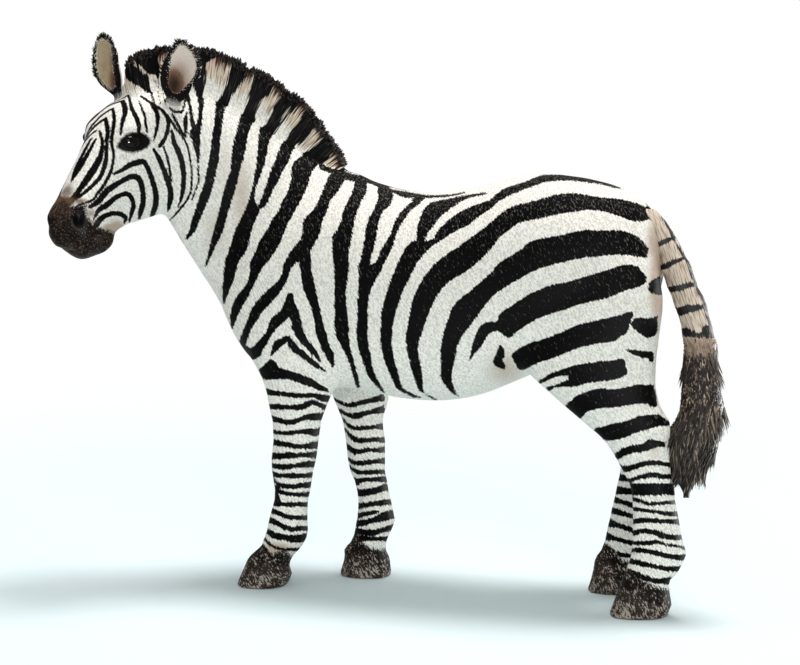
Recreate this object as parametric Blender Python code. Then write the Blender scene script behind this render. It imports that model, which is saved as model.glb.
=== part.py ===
import math

import bpy
import numpy as np
from mathutils import Vector

# Toy zebra figure, standing with its head turned to its left. Metres, +X to its front, +Y to
# its left, +Z up. It is drawn with the ground at z = 0, and the last lines centre its box.

for thing in list(bpy.data.objects):
    bpy.data.objects.remove(thing, do_unlink=True)

# legs, which set how high the trunk stands
foreleg_height = 0.0360
foreleg_depth = 0.0115
foreleg_width = 0.0095
foreleg_spread = 0.0130
hindleg_height = 0.0400
hindleg_depth = 0.0216
hindleg_width = 0.0115
hindleg_spread = 0.0152

# trunk
trunk_length = 0.0764
trunk_depth = 0.0383
trunk_width = 0.0272
rump_x = -0.0418

# neck and head
neck_reach = 0.0240
neck_rise = 0.0210
neck_turn = 0.0085
neck_depth = 0.0330
neck_width = 0.0200
head_length = 0.0288
head_depth = 0.0190
head_width = 0.0120
head_heading = math.radians(62)
head_pitch = math.radians(48)
eye_diameter = 0.0044

# ears, mane and tail
ear_length = 0.0104
ear_width = 0.0074
ear_thickness = 0.0011
ear_cup = 0.0016
mane_height = 0.0064
mane_thickness = 0.0034
mane_tongue = 0.0016
tail_length = 0.0450
tail_dock_width = 0.0040

# how the pieces fit together
joint_gap = 0.0003
leg_peg_diameter = 0.0030
leg_peg_length = 0.0045
neck_peg_diameter = 0.0060
neck_peg_length = 0.0055

# fineness of the moulded skin
skin_voxel = 0.0006
skin_allowance = 0.00025
skin_triangle_share = 0.065
overall_smoothing = 10
trunk_smoothing = 60
ring_points = 28
detail_points = 16
trunk_rows = 40
neck_rows = 24
head_rows = 36
leg_row_steps = 3
ear_rows = 12
tail_rows = 24

# how square the sections are above and below their widest line, 2 for an ellipse
trunk_powers = (2.05, 2.2)
neck_powers = (1.9, 2.1)
head_powers = (2.3, 2.0)
leg_powers = (2.1, 2.1)
mane_powers = (2.3, 5.0)

# where things stand, as shares of the trunk's length and depth
belly_height_share = 0.90
foreleg_place_share = 0.792
hindleg_place_share = 0.024
neck_place_shares = (0.809, 0.642)
tail_place_shares = (0.016, 0.825)
poll_place_shares = (1.05, 0.824, 1.23)

# places that follow the sizes above
belly_height = belly_height_share * foreleg_height
foreleg_x = rump_x + foreleg_place_share * trunk_length
hindleg_x = rump_x + hindleg_place_share * trunk_length
neck_x = rump_x + neck_place_shares[0] * trunk_length
neck_z = belly_height + neck_place_shares[1] * trunk_depth
tail_x = rump_x + tail_place_shares[0] * trunk_length
tail_z = belly_height + tail_place_shares[1] * trunk_depth
poll = Vector((neck_x + poll_place_shares[0] * neck_reach, poll_place_shares[1] * neck_turn,
               neck_z + poll_place_shares[2] * neck_rise))

# the head's own axes: down the nose, out of the brow, and to its left
head_forward = Vector((math.cos(head_heading), math.sin(head_heading), 0))
nose_axis = head_forward * math.cos(head_pitch) - Vector((0, 0, math.sin(head_pitch)))
brow_axis = head_forward * math.sin(head_pitch) + Vector((0, 0, math.cos(head_pitch)))
left_axis = Vector((-math.sin(head_heading), math.cos(head_heading), 0))


def add_material(name, color, roughness):
    material = bpy.data.materials.new(name)
    material.use_nodes = True
    shader = material.node_tree.nodes["Principled BSDF"]
    shader.inputs["Base Color"].default_value = (*color, 1.0)
    shader.inputs["Roughness"].default_value = roughness
    shader.inputs["Metallic"].default_value = 0.0
    return material


def add_object(name, mesh):
    thing = bpy.data.objects.new(name, mesh)
    bpy.context.collection.objects.link(thing)
    return thing


def ring(centre, side, up, half_width, top, bottom, top_power=2.0, bottom_power=2.0,
         count=ring_points):
    # one closed superellipse section, widest at its centre
    points = []
    for step in range(count):
        angle = 2 * math.pi * step / count
        across, rise = math.cos(angle), math.sin(angle)
        power = top_power if rise >= 0 else bottom_power
        reach = top if rise >= 0 else bottom
        x = half_width * math.copysign(abs(across) ** (2 / power), across)
        y = reach * math.copysign(abs(rise) ** (2 / power), rise)
        points.append(Vector(centre) + Vector(side) * x + Vector(up) * y)
    return points


def loft(name, rings):
    # a closed skin through the rings, with a face on each end
    count = len(rings[0])
    points = [tuple(point) for one in rings for point in one]
    faces = [tuple(reversed(range(count)))]
    for row in range(len(rings) - 1):
        for step in range(count):
            low, high = row * count, (row + 1) * count
            after = (step + 1) % count
            faces.append((low + step, low + after, high + after, high + step))
    faces.append(tuple(range((len(rings) - 1) * count, len(rings) * count)))
    mesh = bpy.data.meshes.new(name)
    mesh.from_pydata(points, [], faces)
    turn_outwards(mesh)
    return add_object(name, mesh)


def turn_outwards(mesh):
    # the signed volume tells which way the rings ran
    volume = 0.0
    for face in mesh.polygons:
        corners = [mesh.vertices[index].co for index in face.vertices]
        for step in range(1, len(corners) - 1):
            volume += corners[0].dot(corners[step].cross(corners[step + 1]))
    if volume < 0:
        mesh.flip_normals()


def refine(stations, steps):
    # more rows on a smooth curve through the rows of a table
    rows = np.array(stations, dtype=float)
    slopes = np.gradient(rows, axis=0)
    result = []
    for spot in np.linspace(0, len(rows) - 1, steps):
        low = min(int(spot), len(rows) - 2)
        t = spot - low
        result.append((2 * t**3 - 3 * t**2 + 1) * rows[low] + (t**3 - 2 * t**2 + t) * slopes[low]
                      + (3 * t**2 - 2 * t**3) * rows[low + 1] + (t**3 - t**2) * slopes[low + 1])
    return result


def trunk_form():
    # along the trunk from buttocks to breast, then its top, bottom and width
    trunk_shares = [
        (0.002, 0.750, 0.620, 0.16),
        (0.018, 0.830, 0.490, 0.42),
        (0.044, 0.885, 0.370, 0.62),
        (0.095, 0.950, 0.280, 0.78),
        (0.172, 0.985, 0.220, 0.90),
        (0.249, 1.000, 0.170, 0.95),
        (0.326, 0.985, 0.100, 0.95),
        (0.403, 0.940, 0.035, 0.97),
        (0.492, 0.908, 0.003, 1.00),
        (0.582, 0.906, 0.010, 0.99),
        (0.659, 0.945, 0.030, 0.94),
        (0.736, 0.965, 0.047, 0.89),
        (0.813, 0.970, 0.055, 0.86),
        (0.890, 0.880, 0.095, 0.78),
        (0.941, 0.740, 0.200, 0.64),
        (0.979, 0.640, 0.340, 0.42),
        (0.999, 0.540, 0.430, 0.16),
    ]
    widest_share = 0.46
    rings = []
    for along, top, bottom, width in refine(trunk_shares, trunk_rows):
        low = belly_height + bottom * trunk_depth
        high = belly_height + top * trunk_depth
        middle = low + widest_share * (high - low)
        rings.append(ring((rump_x + along * trunk_length, 0, middle), (0, 1, 0), (0, 0, 1),
                          width * trunk_width / 2, high - middle, middle - low, *trunk_powers))
    return loft("trunk_form", rings)


def neck_sections():
    # reach, turn and rise of the path, yaw and tilt in degrees, then depth and width
    neck_shares = [
        (0.00, 0.00, 0.00, 0, 40, 1.000, 1.000),
        (0.19, 0.00, 0.09, 3, 38, 0.930, 0.880),
        (0.38, 0.09, 0.29, 10, 37, 0.830, 0.740),
        (0.57, 0.28, 0.52, 18, 33, 0.735, 0.635),
        (0.73, 0.52, 0.71, 28, 27, 0.650, 0.570),
        (0.87, 0.75, 0.85, 40, 20, 0.530, 0.530),
        (0.97, 0.98, 0.95, 50, 12, 0.380, 0.490),
    ]
    sections = []
    for reach, turn, rise, yaw, tilt, depth, width in refine(neck_shares, neck_rows):
        yaw, tilt = math.radians(yaw), math.radians(tilt)
        side = Vector((-math.sin(yaw), math.cos(yaw), 0))
        up = Vector((-math.sin(tilt) * math.cos(yaw), -math.sin(tilt) * math.sin(yaw),
                     math.cos(tilt)))
        centre = Vector((neck_x + reach * neck_reach, turn * neck_turn,
                         neck_z + rise * neck_rise))
        sections.append((centre, side, up, depth * neck_depth / 2, width * neck_width / 2))
    return sections


def neck_form():
    return loft("neck_form", [ring(centre, side, up, half_width, half_depth, half_depth,
                                   *neck_powers)
                              for centre, side, up, half_depth, half_width in neck_sections()])


def head_point(along, out, aside):
    # a place on the head in shares of its length, its depth and half its width
    return (poll + nose_axis * along * head_length + brow_axis * out * head_depth
            + left_axis * aside * head_width / 2)


def head_form():
    # down the nose, then forehead line, jaw line and width
    head_shares = [
        (-0.10, -0.04, -0.40, 0.78),
        (0.00, 0.000, -0.52, 0.92),
        (0.10, 0.130, -0.63, 1.00),
        (0.20, 0.205, -0.72, 1.04),
        (0.30, 0.220, -0.80, 1.04),
        (0.40, 0.215, -0.82, 0.97),
        (0.50, 0.205, -0.76, 0.85),
        (0.60, 0.190, -0.64, 0.72),
        (0.70, 0.170, -0.52, 0.65),
        (0.80, 0.145, -0.46, 0.66),
        (0.88, 0.105, -0.44, 0.71),
        (0.95, 0.040, -0.41, 0.70),
        (1.00, -0.06, -0.34, 0.52),
        (1.025, -0.14, -0.26, 0.22),
    ]
    widest_share = 0.62
    rings = []
    for along, top, bottom, width in refine(head_shares, head_rows):
        middle = bottom + widest_share * (top - bottom)
        rings.append(ring(head_point(along, middle, 0), left_axis, brow_axis,
                          width * head_width / 2, (top - middle) * head_depth,
                          (middle - bottom) * head_depth, *head_powers))
    return loft("head_form", rings)


def ball(name, centre, long, wide, deep):
    # an ellipsoid on the head's axes
    rows = 12
    rings = []
    for row in range(1, rows):
        angle = math.pi * row / rows
        rings.append(ring(centre - nose_axis * math.cos(angle) * long, left_axis, brow_axis,
                          math.sin(angle) * wide, math.sin(angle) * deep, math.sin(angle) * deep,
                          count=detail_points))
    return loft(name, rings)


def head_features():
    # swellings: place down the nose, outwards and aside, then their length, depth and width
    feature_shares = {
        "brow": (0.30, 0.12, 0.60, 0.100, 0.075, 0.32),
        "cheek": (0.33, -0.42, 0.46, 0.220, 0.300, 0.54),
        "jaw_corner": (0.28, -0.58, 0.42, 0.150, 0.180, 0.44),
        "nostril": (0.91, -0.01, 0.42, 0.065, 0.085, 0.25),
        "lower_lip": (0.87, -0.38, 0.20, 0.085, 0.090, 0.40),
        "ear_mound": (0.02, -0.09, 0.88, 0.085, 0.095, 0.30),
    }
    eye_place_shares = (0.35, 0.07, 0.64)
    forms = []
    for side_sign in (1, -1):
        for name, (along, out, aside, long, deep, wide) in feature_shares.items():
            forms.append(ball(name, head_point(along, out, side_sign * aside), long * head_length,
                              wide * head_width / 2, deep * head_depth))
        along, out, aside = eye_place_shares
        forms.append(ball("eye", head_point(along, out, side_sign * aside), eye_diameter / 2,
                          eye_diameter / 2, eye_diameter / 2))
    return forms


# from the sole up: height, depth and width of the leg, and how far out it stands
foreleg_shares = [
    (-0.035, 0.80, 0.86, 0.92),
    (0.00, 0.80, 0.86, 0.92),
    (0.06, 0.77, 0.83, 0.92),
    (0.11, 0.70, 0.77, 0.93),
    (0.15, 0.64, 0.69, 0.94),
    (0.195, 0.62, 0.63, 0.95),
    (0.25, 0.645, 0.65, 0.96),
    (0.29, 0.625, 0.66, 0.97),
    (0.335, 0.58, 0.60, 0.98),
    (0.39, 0.52, 0.55, 0.99),
    (0.47, 0.53, 0.56, 1.00),
    (0.555, 0.635, 0.68, 1.01),
    (0.64, 0.68, 0.72, 1.02),
    (0.72, 0.68, 0.69, 1.03),
    (0.855, 0.81, 0.80, 1.05),
    (0.955, 0.99, 0.96, 1.05),
    (1.055, 1.30, 1.05, 1.04),
    (1.22, 1.55, 1.14, 1.03),
    (1.42, 1.55, 1.04, 0.98),
    (1.61, 1.28, 0.80, 0.86),
    (1.75, 0.78, 0.47, 0.70),
]
hindleg_shares = [
    (-0.03, 0.48, 0.73, 1.01),
    (0.00, 0.48, 0.73, 1.01),
    (0.04, 0.47, 0.71, 1.01),
    (0.085, 0.435, 0.68, 1.01),
    (0.125, 0.385, 0.61, 1.02),
    (0.165, 0.39, 0.57, 1.02),
    (0.205, 0.405, 0.575, 1.02),
    (0.255, 0.385, 0.59, 1.02),
    (0.32, 0.375, 0.54, 1.02),
    (0.385, 0.35, 0.49, 1.02),
    (0.445, 0.335, 0.49, 1.02),
    (0.53, 0.32, 0.52, 1.02),
    (0.60, 0.38, 0.59, 1.02),
    (0.655, 0.435, 0.61, 1.02),
    (0.725, 0.52, 0.63, 1.02),
    (0.79, 0.655, 0.68, 1.02),
    (0.85, 0.72, 0.77, 1.02),
    (0.91, 0.83, 0.89, 1.00),
    (1.00, 1.00, 1.02, 0.95),
    (1.15, 1.08, 1.06, 0.90),
    (1.30, 1.00, 0.96, 0.88),
    (1.45, 0.86, 0.72, 0.80),
    (1.58, 0.55, 0.45, 0.66),
]

# how far forward each row of a leg stands, as a share of the leg's height
stance_shares = {
    "front_left_leg": [
        0.186, 0.180, 0.165, 0.155, 0.139, 0.094, 0.061, 0.055, 0.054, 0.042, 0.032, 0.026,
        0.022, 0.014, 0.006, -0.005, -0.003, 0.036, 0.050, 0.022, -0.030],
    "front_right_leg": [
        -0.203, -0.203, -0.205, -0.207, -0.215, -0.233, -0.243, -0.251, -0.251, -0.239, -0.222,
        -0.205, -0.200, -0.194, -0.183, -0.158, -0.090, 0.000, 0.036, 0.022, -0.030],
    "hind_left_leg": [
        -0.003, -0.003, -0.013, -0.018, -0.019, -0.037, -0.067, -0.086, -0.080, -0.073, -0.065,
        -0.055, -0.035, -0.018, 0.010, 0.055, 0.115, 0.163, 0.218, 0.225, 0.190, 0.195, 0.200],
    "hind_right_leg": [
        0.170, 0.170, 0.160, 0.155, 0.155, 0.140, 0.118, 0.108, 0.105, 0.098, 0.090, 0.075,
        0.080, 0.102, 0.135, 0.188, 0.252, 0.300, 0.350, 0.330, 0.275, 0.245, 0.235],
}

# table, height, depth, width, spread, foot line and side of each leg
legs = {}
for side_name, side_sign in (("left", 1), ("right", -1)):
    legs[f"front_{side_name}_leg"] = (foreleg_shares, foreleg_height, foreleg_depth,
                                      foreleg_width, foreleg_spread, foreleg_x, side_sign)
    legs[f"hind_{side_name}_leg"] = (hindleg_shares, hindleg_height, hindleg_depth,
                                     hindleg_width, hindleg_spread, hindleg_x, side_sign)


def leg_form(name):
    table, height, depth, width, spread, x, side_sign = legs[name]
    rows = [(*row, stance) for row, stance in zip(table, stance_shares[name])]
    rings = []
    for rise, thick, wide, out, stance in refine(rows, leg_row_steps * len(rows)):
        centre = (x + stance * height, side_sign * out * spread / 2, rise * height)
        half = thick * depth / 2
        rings.append(ring(centre, (0, 1, 0), (1, 0, 0), wide * width / 2, half, half,
                          *leg_powers))
    return loft(name + "_form", rings)


def leg_centre(name, rise):
    # the middle of a leg at a share of its height
    table, height, depth, width, spread, x, side_sign = legs[name]
    rises = [row[0] for row in table]
    out = np.interp(rise, rises, [row[3] for row in table])
    stance = np.interp(rise, rises, stance_shares[name])
    return Vector((x + stance * height, side_sign * out * spread / 2, rise * height))


def mane_form(name, grow=0.0):
    # a blade along the crest from the withers to the forelock, with a tongue let into the neck
    crest_shares = [0.16, 0.42, 0.62, 0.78, 0.91, 0.99, 1.03, 1.06, 1.08, 1.10, 1.12, 1.14, 1.15]
    forelock_shares = [(-0.02, 0.0, 1.12), (0.05, 0.05, 1.08), (0.11, 0.10, 0.90)]
    places = []
    for row, (centre, side, up, half_depth, half_width) in enumerate(neck_sections()[3:-3]):
        share = crest_shares[min(row, len(crest_shares) - 1)]
        places.append((centre + up * half_depth, side, up, share))
    for along, out, share in forelock_shares:
        places.append((head_point(along, out, 0), left_axis, Vector((0, 0, 1)), share))
    return loft(name, [ring(base, side, up, mane_thickness / 2 + grow,
                            mane_height * share + grow, mane_tongue * min(1.0, share) + grow,
                            *mane_powers, detail_points) for base, side, up, share in places])


# each ear: side, way it faces, how far aside its root lies and how far it splays
ear_place_shares = {
    "left_ear": (1, math.radians(104), 1.17, 0.32),
    "right_ear": (-1, math.radians(64), 1.33, 0.30),
}


def ear_form(name, grow=0.0):
    # a cupped leaf: up its length, then width, cup and thickness
    leaf_shares = [
        (-0.20, 0.38, 0.10, 1.9),
        (-0.04, 0.52, 0.30, 2.0),
        (0.08, 0.76, 0.60, 1.6),
        (0.24, 0.95, 0.90, 1.2),
        (0.42, 1.00, 1.00, 1.0),
        (0.62, 0.96, 0.90, 1.0),
        (0.78, 0.80, 0.70, 1.0),
        (0.90, 0.57, 0.45, 0.95),
        (0.97, 0.33, 0.22, 0.9),
        (1.00, 0.14, 0.08, 0.8),
    ]
    root_drop_share, lean_share = 0.03, 0.13
    side_sign, facing, aside_share, splay_share = ear_place_shares[name]
    root = head_point(0.0, -root_drop_share, side_sign * aside_share)
    axis = (Vector((0, 0, 1)) + left_axis * side_sign * splay_share
            + head_forward * lean_share).normalized()
    face = Vector((math.cos(facing), math.sin(facing), 0))
    face = (face - axis * face.dot(axis)).normalized()
    across = axis.cross(face)
    half_count = detail_points // 2
    rings = []
    for along, width, cup, thick in refine(leaf_shares, ear_rows):
        centre = root + axis * along * ear_length
        points = []
        for step in range(detail_points):
            front = 1 if step < half_count else -1
            t = front * ((step % half_count + 0.5) / half_count * 2 - 1)
            wall = front * (thick * ear_thickness / 2 + grow) * math.sqrt(1 - t * t)
            points.append(centre + across * t * (width * ear_width / 2 + grow)
                          + face * (wall - cup * ear_cup * (1 - t * t)))
        rings.append(points)
    return loft(name + "_form" if grow else name, rings)


def tail_form(name, grow=0.0):
    # down, back and aside in shares of the length, then thickness and breadth of dock and tuft
    tail_shares = [
        (0.02, -0.090, 0.00, 0.90, 0.90),
        (0.00, -0.040, 0.00, 1.00, 1.00),
        (0.04, -0.002, 0.00, 1.05, 1.05),
        (0.10, 0.036, 0.00, 1.05, 1.05),
        (0.18, 0.083, 0.01, 1.05, 1.05),
        (0.30, 0.125, 0.02, 1.10, 1.05),
        (0.41, 0.158, 0.04, 1.15, 1.10),
        (0.52, 0.178, 0.07, 1.30, 1.20),
        (0.61, 0.190, 0.10, 1.65, 1.35),
        (0.68, 0.195, 0.125, 1.95, 1.50),
        (0.75, 0.185, 0.14, 2.25, 1.60),
        (0.82, 0.168, 0.15, 2.15, 1.50),
        (0.89, 0.155, 0.155, 1.60, 1.25),
        (0.95, 0.150, 0.155, 0.95, 0.80),
        (0.985, 0.150, 0.155, 0.30, 0.30),
    ]
    rows = refine(tail_shares, tail_rows)
    path = [Vector((tail_x - back * tail_length, swing * tail_length, tail_z - drop * tail_length))
            for drop, back, swing, depth, width in rows]
    rings = []
    for row, (drop, back, swing, depth, width) in enumerate(rows):
        run = (path[min(row + 1, len(path) - 1)] - path[max(row - 1, 0)]).normalized()
        side = Vector((0, 1, 0))
        side = (side - run * side.dot(run)).normalized()
        half = depth * tail_dock_width / 2 + grow
        rings.append(ring(path[row], side, side.cross(run), width * tail_dock_width / 2 + grow,
                          half, half, count=detail_points))
    return loft(name, rings)


def baked(thing, name):
    # a new object that holds what the modifiers of a form give
    graph = bpy.context.evaluated_depsgraph_get()
    result = add_object(name, bpy.data.meshes.new_from_object(thing.evaluated_get(graph)))
    bpy.data.objects.remove(thing, do_unlink=True)
    return result


def add_smooth(thing, name, iterations, group=""):
    smooth = thing.modifiers.new(name, "SMOOTH")
    smooth.factor = 0.5
    smooth.iterations = iterations
    smooth.vertex_group = group


def fused_skin(forms):
    # one smooth closed skin over the overlapping forms, softest over the trunk
    soften_share, soften_reach_share = 0.12, 0.83
    soften_run = soften_share * trunk_depth
    soften_x = neck_x + soften_reach_share * neck_reach
    points, faces = [], []
    for form in forms:
        first = len(points)
        points += [tuple(vertex.co) for vertex in form.data.vertices]
        faces += [tuple(first + index for index in face.vertices) for face in form.data.polygons]
        bpy.data.objects.remove(form, do_unlink=True)
    mesh = bpy.data.meshes.new("forms")
    mesh.from_pydata(points, [], faces)
    rough = add_object("forms", mesh)
    allowance = rough.modifiers.new("allowance", "DISPLACE")
    allowance.mid_level = 0.0
    allowance.strength = skin_allowance
    merge = rough.modifiers.new("merge", "REMESH")
    merge.mode = "VOXEL"
    merge.voxel_size = skin_voxel
    skin = baked(rough, "skin")
    trunk_group = skin.vertex_groups.new(name="trunk")
    for vertex in skin.data.vertices:
        above = (vertex.co.z - belly_height) / soften_run
        behind = (soften_x - vertex.co.x) / soften_run
        trunk_group.add([vertex.index], max(0.0, min(1.0, above, behind)), "REPLACE")
    add_smooth(skin, "overall", overall_smoothing)
    add_smooth(skin, "over trunk", trunk_smoothing, "trunk")
    fewer = skin.modifiers.new("fewer", "DECIMATE")
    fewer.ratio = skin_triangle_share
    skin = baked(skin, "skin")
    skin.vertex_groups.clear()
    return skin


def pin(name, foot, axis, diameter, length):
    # a round peg or socket
    side = axis.orthogonal().normalized()
    up = axis.cross(side)
    return loft(name, [ring(foot + axis * reach, side, up, diameter / 2, diameter / 2,
                            diameter / 2, count=detail_points) for reach in (0.0, length)])


# where each leg parts from the trunk: level, slope to the front, slope to the outside, then
# reach to the rear, to the front and the inner limit
leg_parting_shares = {
    "front_left_leg": (1.03, 15, 28, 0.62, 0.78, 0.30),
    "front_right_leg": (1.03, 15, 28, 0.62, 0.60, 0.30),
    "hind_left_leg": (1.05, -18, 20, 1.00, 0.66, 0.13),
    "hind_right_leg": (1.05, -18, 20, 1.00, 0.43, 0.13),
}


def leg_region(name, bottom, grow=0.0):
    # the space that holds one leg: wide around the hoof, narrow up to its slanted parting plane
    depth, spread, side_sign = legs[name][2], legs[name][4], legs[name][6]
    level_share, pitch, roll, behind, ahead, inner = leg_parting_shares[name]
    middle = leg_centre(name, level_share)
    pitch, roll = math.tan(math.radians(pitch)), math.tan(math.radians(roll))
    narrowing_shares = (0.75, 0.90)
    outer_share = 2.5
    inner_y = inner * spread / 2 - grow
    outer_y = outer_share * spread
    levels = [bottom] + [share * belly_height for share in narrowing_shares] + [middle.z]
    rings = []
    for level, wider in zip(levels, (foreleg_depth, foreleg_depth, 0.0, 0.0)):
        rear = -behind * depth - wider - grow
        fore = ahead * depth + wider + grow
        corners = []
        for reach, aside in ((rear, inner_y), (fore, inner_y), (fore, outer_y), (rear, outer_y)):
            rise = reach * pitch + (aside - spread / 2) * roll + grow
            corners.append(Vector((middle.x + reach, side_sign * aside,
                                   level + (rise if level == middle.z else 0.0))))
        rings.append(corners)
    return loft(name + "_region", rings)


def neck_region(grow):
    # everything in front of and above the plane where the neck leaves the trunk
    size = trunk_length + neck_reach + head_length
    corners = []
    for across, along in ((-1, -1), (1, -1), (1, 1), (-1, 1)):
        corners.append(neck_part - neck_axis * grow
                       + (Vector((0, across, 0)) + neck_axis.cross(Vector((0, 1, 0))) * along)
                       * size)
    return loft("neck_region", [corners, [corner + neck_axis * size for corner in corners]])


def cut(thing, cutter, operation="DIFFERENCE"):
    cutter.hide_render = True
    cutter.display_type = "WIRE"
    step = thing.modifiers.new(cutter.name, "BOOLEAN")
    step.solver = "EXACT"
    step.operation = operation
    step.object = cutter


def piece_of_skin(name):
    return add_object(name, skin.data.copy())


neck_lean = math.radians(50.6)
neck_part_shares = (0.10, 0.205)
neck_axis = Vector((math.cos(neck_lean), 0, math.sin(neck_lean)))
neck_part = Vector((neck_x + neck_part_shares[0] * neck_reach, 0,
                    neck_z + neck_part_shares[1] * neck_rise))

skin = fused_skin([trunk_form(), neck_form(), head_form()] + head_features()
                  + [leg_form(name) for name in legs])

# pieces that are moulded by themselves
mane = mane_form("mane")
tail = tail_form("tail")
tail_seat = tail_form("tail_seat", joint_gap)

# trunk, with the seats of all that plugs into it
torso = piece_of_skin("torso")
cut(torso, neck_region(joint_gap))
cut(torso, pin("neck_socket", neck_part - neck_axis * (neck_peg_length + joint_gap), neck_axis,
               neck_peg_diameter + 2 * joint_gap, 2 * neck_peg_length))
cut(torso, tail_seat)

# neck and head in one, with a peg into the trunk and the seats of mane and ears
neck_and_head = piece_of_skin("neck_and_head")
cut(neck_and_head, neck_region(0.0), "INTERSECT")
cut(neck_and_head, pin("neck_peg", neck_part - neck_axis * neck_peg_length, neck_axis,
                       neck_peg_diameter, 2 * neck_peg_length), "UNION")
cut(neck_and_head, mane_form("mane_seat", joint_gap))

# legs, each with a peg into the trunk
pieces = {"torso": torso, "neck_and_head": neck_and_head, "mane": mane, "tail": tail}
for name in ear_place_shares:
    pieces[name] = ear_form(name)
    cut(neck_and_head, ear_form(name, joint_gap))
for name in legs:
    leg = piece_of_skin(name)
    up = Vector((0, 0, 1))
    top = leg_centre(name, leg_parting_shares[name][0])
    cut(leg, leg_region(name, 0.0), "INTERSECT")
    cut(leg, pin(name + "_peg", top - up * leg_peg_length, up, leg_peg_diameter,
                 2 * leg_peg_length), "UNION")
    cut(torso, leg_region(name, -belly_height, joint_gap))
    cut(torso, pin(name + "_socket", top - up * leg_peg_length, up,
                   leg_peg_diameter + 2 * joint_gap, 2 * leg_peg_length + joint_gap))
    pieces[name] = leg
cut(pieces["hind_left_leg"], tail_seat)

bpy.data.objects.remove(skin, do_unlink=True)

finishes = {
    "torso": ((0.80, 0.79, 0.75), 0.60),
    "neck_and_head": ((0.78, 0.76, 0.72), 0.60),
    "mane": ((0.07, 0.05, 0.04), 0.70),
    "left_ear": ((0.55, 0.45, 0.36), 0.65),
    "right_ear": ((0.55, 0.45, 0.36), 0.65),
    "tail": ((0.20, 0.14, 0.10), 0.70),
}
for name, piece in pieces.items():
    color, roughness = finishes.get(name, ((0.72, 0.71, 0.68), 0.60))
    piece.data.materials.clear()
    piece.data.materials.append(add_material(name, color, roughness))
    piece.data.shade_smooth()

# the origin goes to the middle of the box, on the ground
graph = bpy.context.evaluated_depsgraph_get()
corners = [piece.matrix_world @ Vector(corner) for piece in pieces.values()
           for corner in piece.evaluated_get(graph).bound_box]
low = Vector([min(corner[axis] for corner in corners) for axis in range(3)])
high = Vector([max(corner[axis] for corner in corners) for axis in range(3)])
ground_centre = bpy.data.objects.new("ground_centre", None)
bpy.context.collection.objects.link(ground_centre)
ground_centre.location = (-(low.x + high.x) / 2, -(low.y + high.y) / 2, -low.z)
for thing in bpy.data.objects:
    if thing is not ground_centre:
        thing.parent = ground_centre
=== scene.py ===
import math

import bmesh
import bpy
import numpy as np
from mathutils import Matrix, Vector
from mathutils.bvhtree import BVHTree
from mathutils.kdtree import KDTree


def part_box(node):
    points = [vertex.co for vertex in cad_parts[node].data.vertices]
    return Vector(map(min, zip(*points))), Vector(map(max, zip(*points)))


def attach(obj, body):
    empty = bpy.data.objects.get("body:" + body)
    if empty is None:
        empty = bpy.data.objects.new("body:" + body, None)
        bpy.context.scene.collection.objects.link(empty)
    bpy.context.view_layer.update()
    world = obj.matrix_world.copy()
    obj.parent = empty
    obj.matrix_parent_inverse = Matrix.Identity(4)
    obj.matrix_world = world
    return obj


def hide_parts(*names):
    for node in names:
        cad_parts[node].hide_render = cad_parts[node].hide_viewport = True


# Toy zebra figure: skin, stripes, eyes, ears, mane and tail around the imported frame.
# Metres, +X to its front, +Y to its left. Marks are places in the 800 x 665 photograph.

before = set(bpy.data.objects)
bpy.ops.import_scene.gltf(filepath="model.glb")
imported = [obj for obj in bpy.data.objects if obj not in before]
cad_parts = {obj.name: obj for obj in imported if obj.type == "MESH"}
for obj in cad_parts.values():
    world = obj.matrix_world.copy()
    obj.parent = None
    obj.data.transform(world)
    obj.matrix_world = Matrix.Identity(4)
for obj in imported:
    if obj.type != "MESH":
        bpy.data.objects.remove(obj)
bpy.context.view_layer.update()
mm = 0.001

# camera
cameraView = {
    "azimuth": 197, "elevation": 9, "distance": 500 * mm, "focalPixels": 3050, "sensor": 36,
    "pictureWidth": 800, "pictureMiddle": (400, 332.5), "clip": (10 * mm, 10),
    "aimFromTrunk": (3.551 * mm, 10.106 * mm, -4.939 * mm),
}
trunkLow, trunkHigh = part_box("torso")
trunkMiddle = (trunkLow + trunkHigh) / 2
azimuth, elevation = math.radians(cameraView["azimuth"]), math.radians(cameraView["elevation"])
backward = Vector((math.sin(azimuth) * math.cos(elevation), -math.cos(azimuth) * math.cos(elevation),
                   math.sin(elevation)))
rightward = (-backward).cross(Vector((0, 0, 1))).normalized()
upward = rightward.cross(-backward)
cameraPlace = (trunkMiddle + Vector(cameraView["aimFromTrunk"]) + backward * cameraView["distance"])
cameraData = bpy.data.cameras.new("camera")
cameraData.sensor_width = cameraView["sensor"]
cameraData.lens = cameraView["focalPixels"] * cameraView["sensor"] / cameraView["pictureWidth"]
cameraData.clip_start, cameraData.clip_end = cameraView["clip"]
camera = bpy.data.objects.new("camera", cameraData)
bpy.context.collection.objects.link(camera)
camera.location = cameraPlace
camera.rotation_euler = (-backward).to_track_quat("-Z", "Y").to_euler()
bpy.context.scene.camera = camera


def toPicture(points):
    # where points fall in the photograph
    away = np.asarray(points) - np.array(cameraPlace)
    depth = -(away @ np.array(backward))
    middle = cameraView["pictureMiddle"]
    focal = cameraView["focalPixels"]
    return np.stack([middle[0] + focal * (away @ np.array(rightward)) / depth,
                     middle[1] - focal * (away @ np.array(upward)) / depth], 1)


def sightLine(mark):
    # the direction from the camera through a mark
    middle, focal = cameraView["pictureMiddle"], cameraView["focalPixels"]
    return (-backward + rightward * (mark[0] - middle[0]) / focal
            - upward * (mark[1] - middle[1]) / focal).normalized()


print("camera set")

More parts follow.
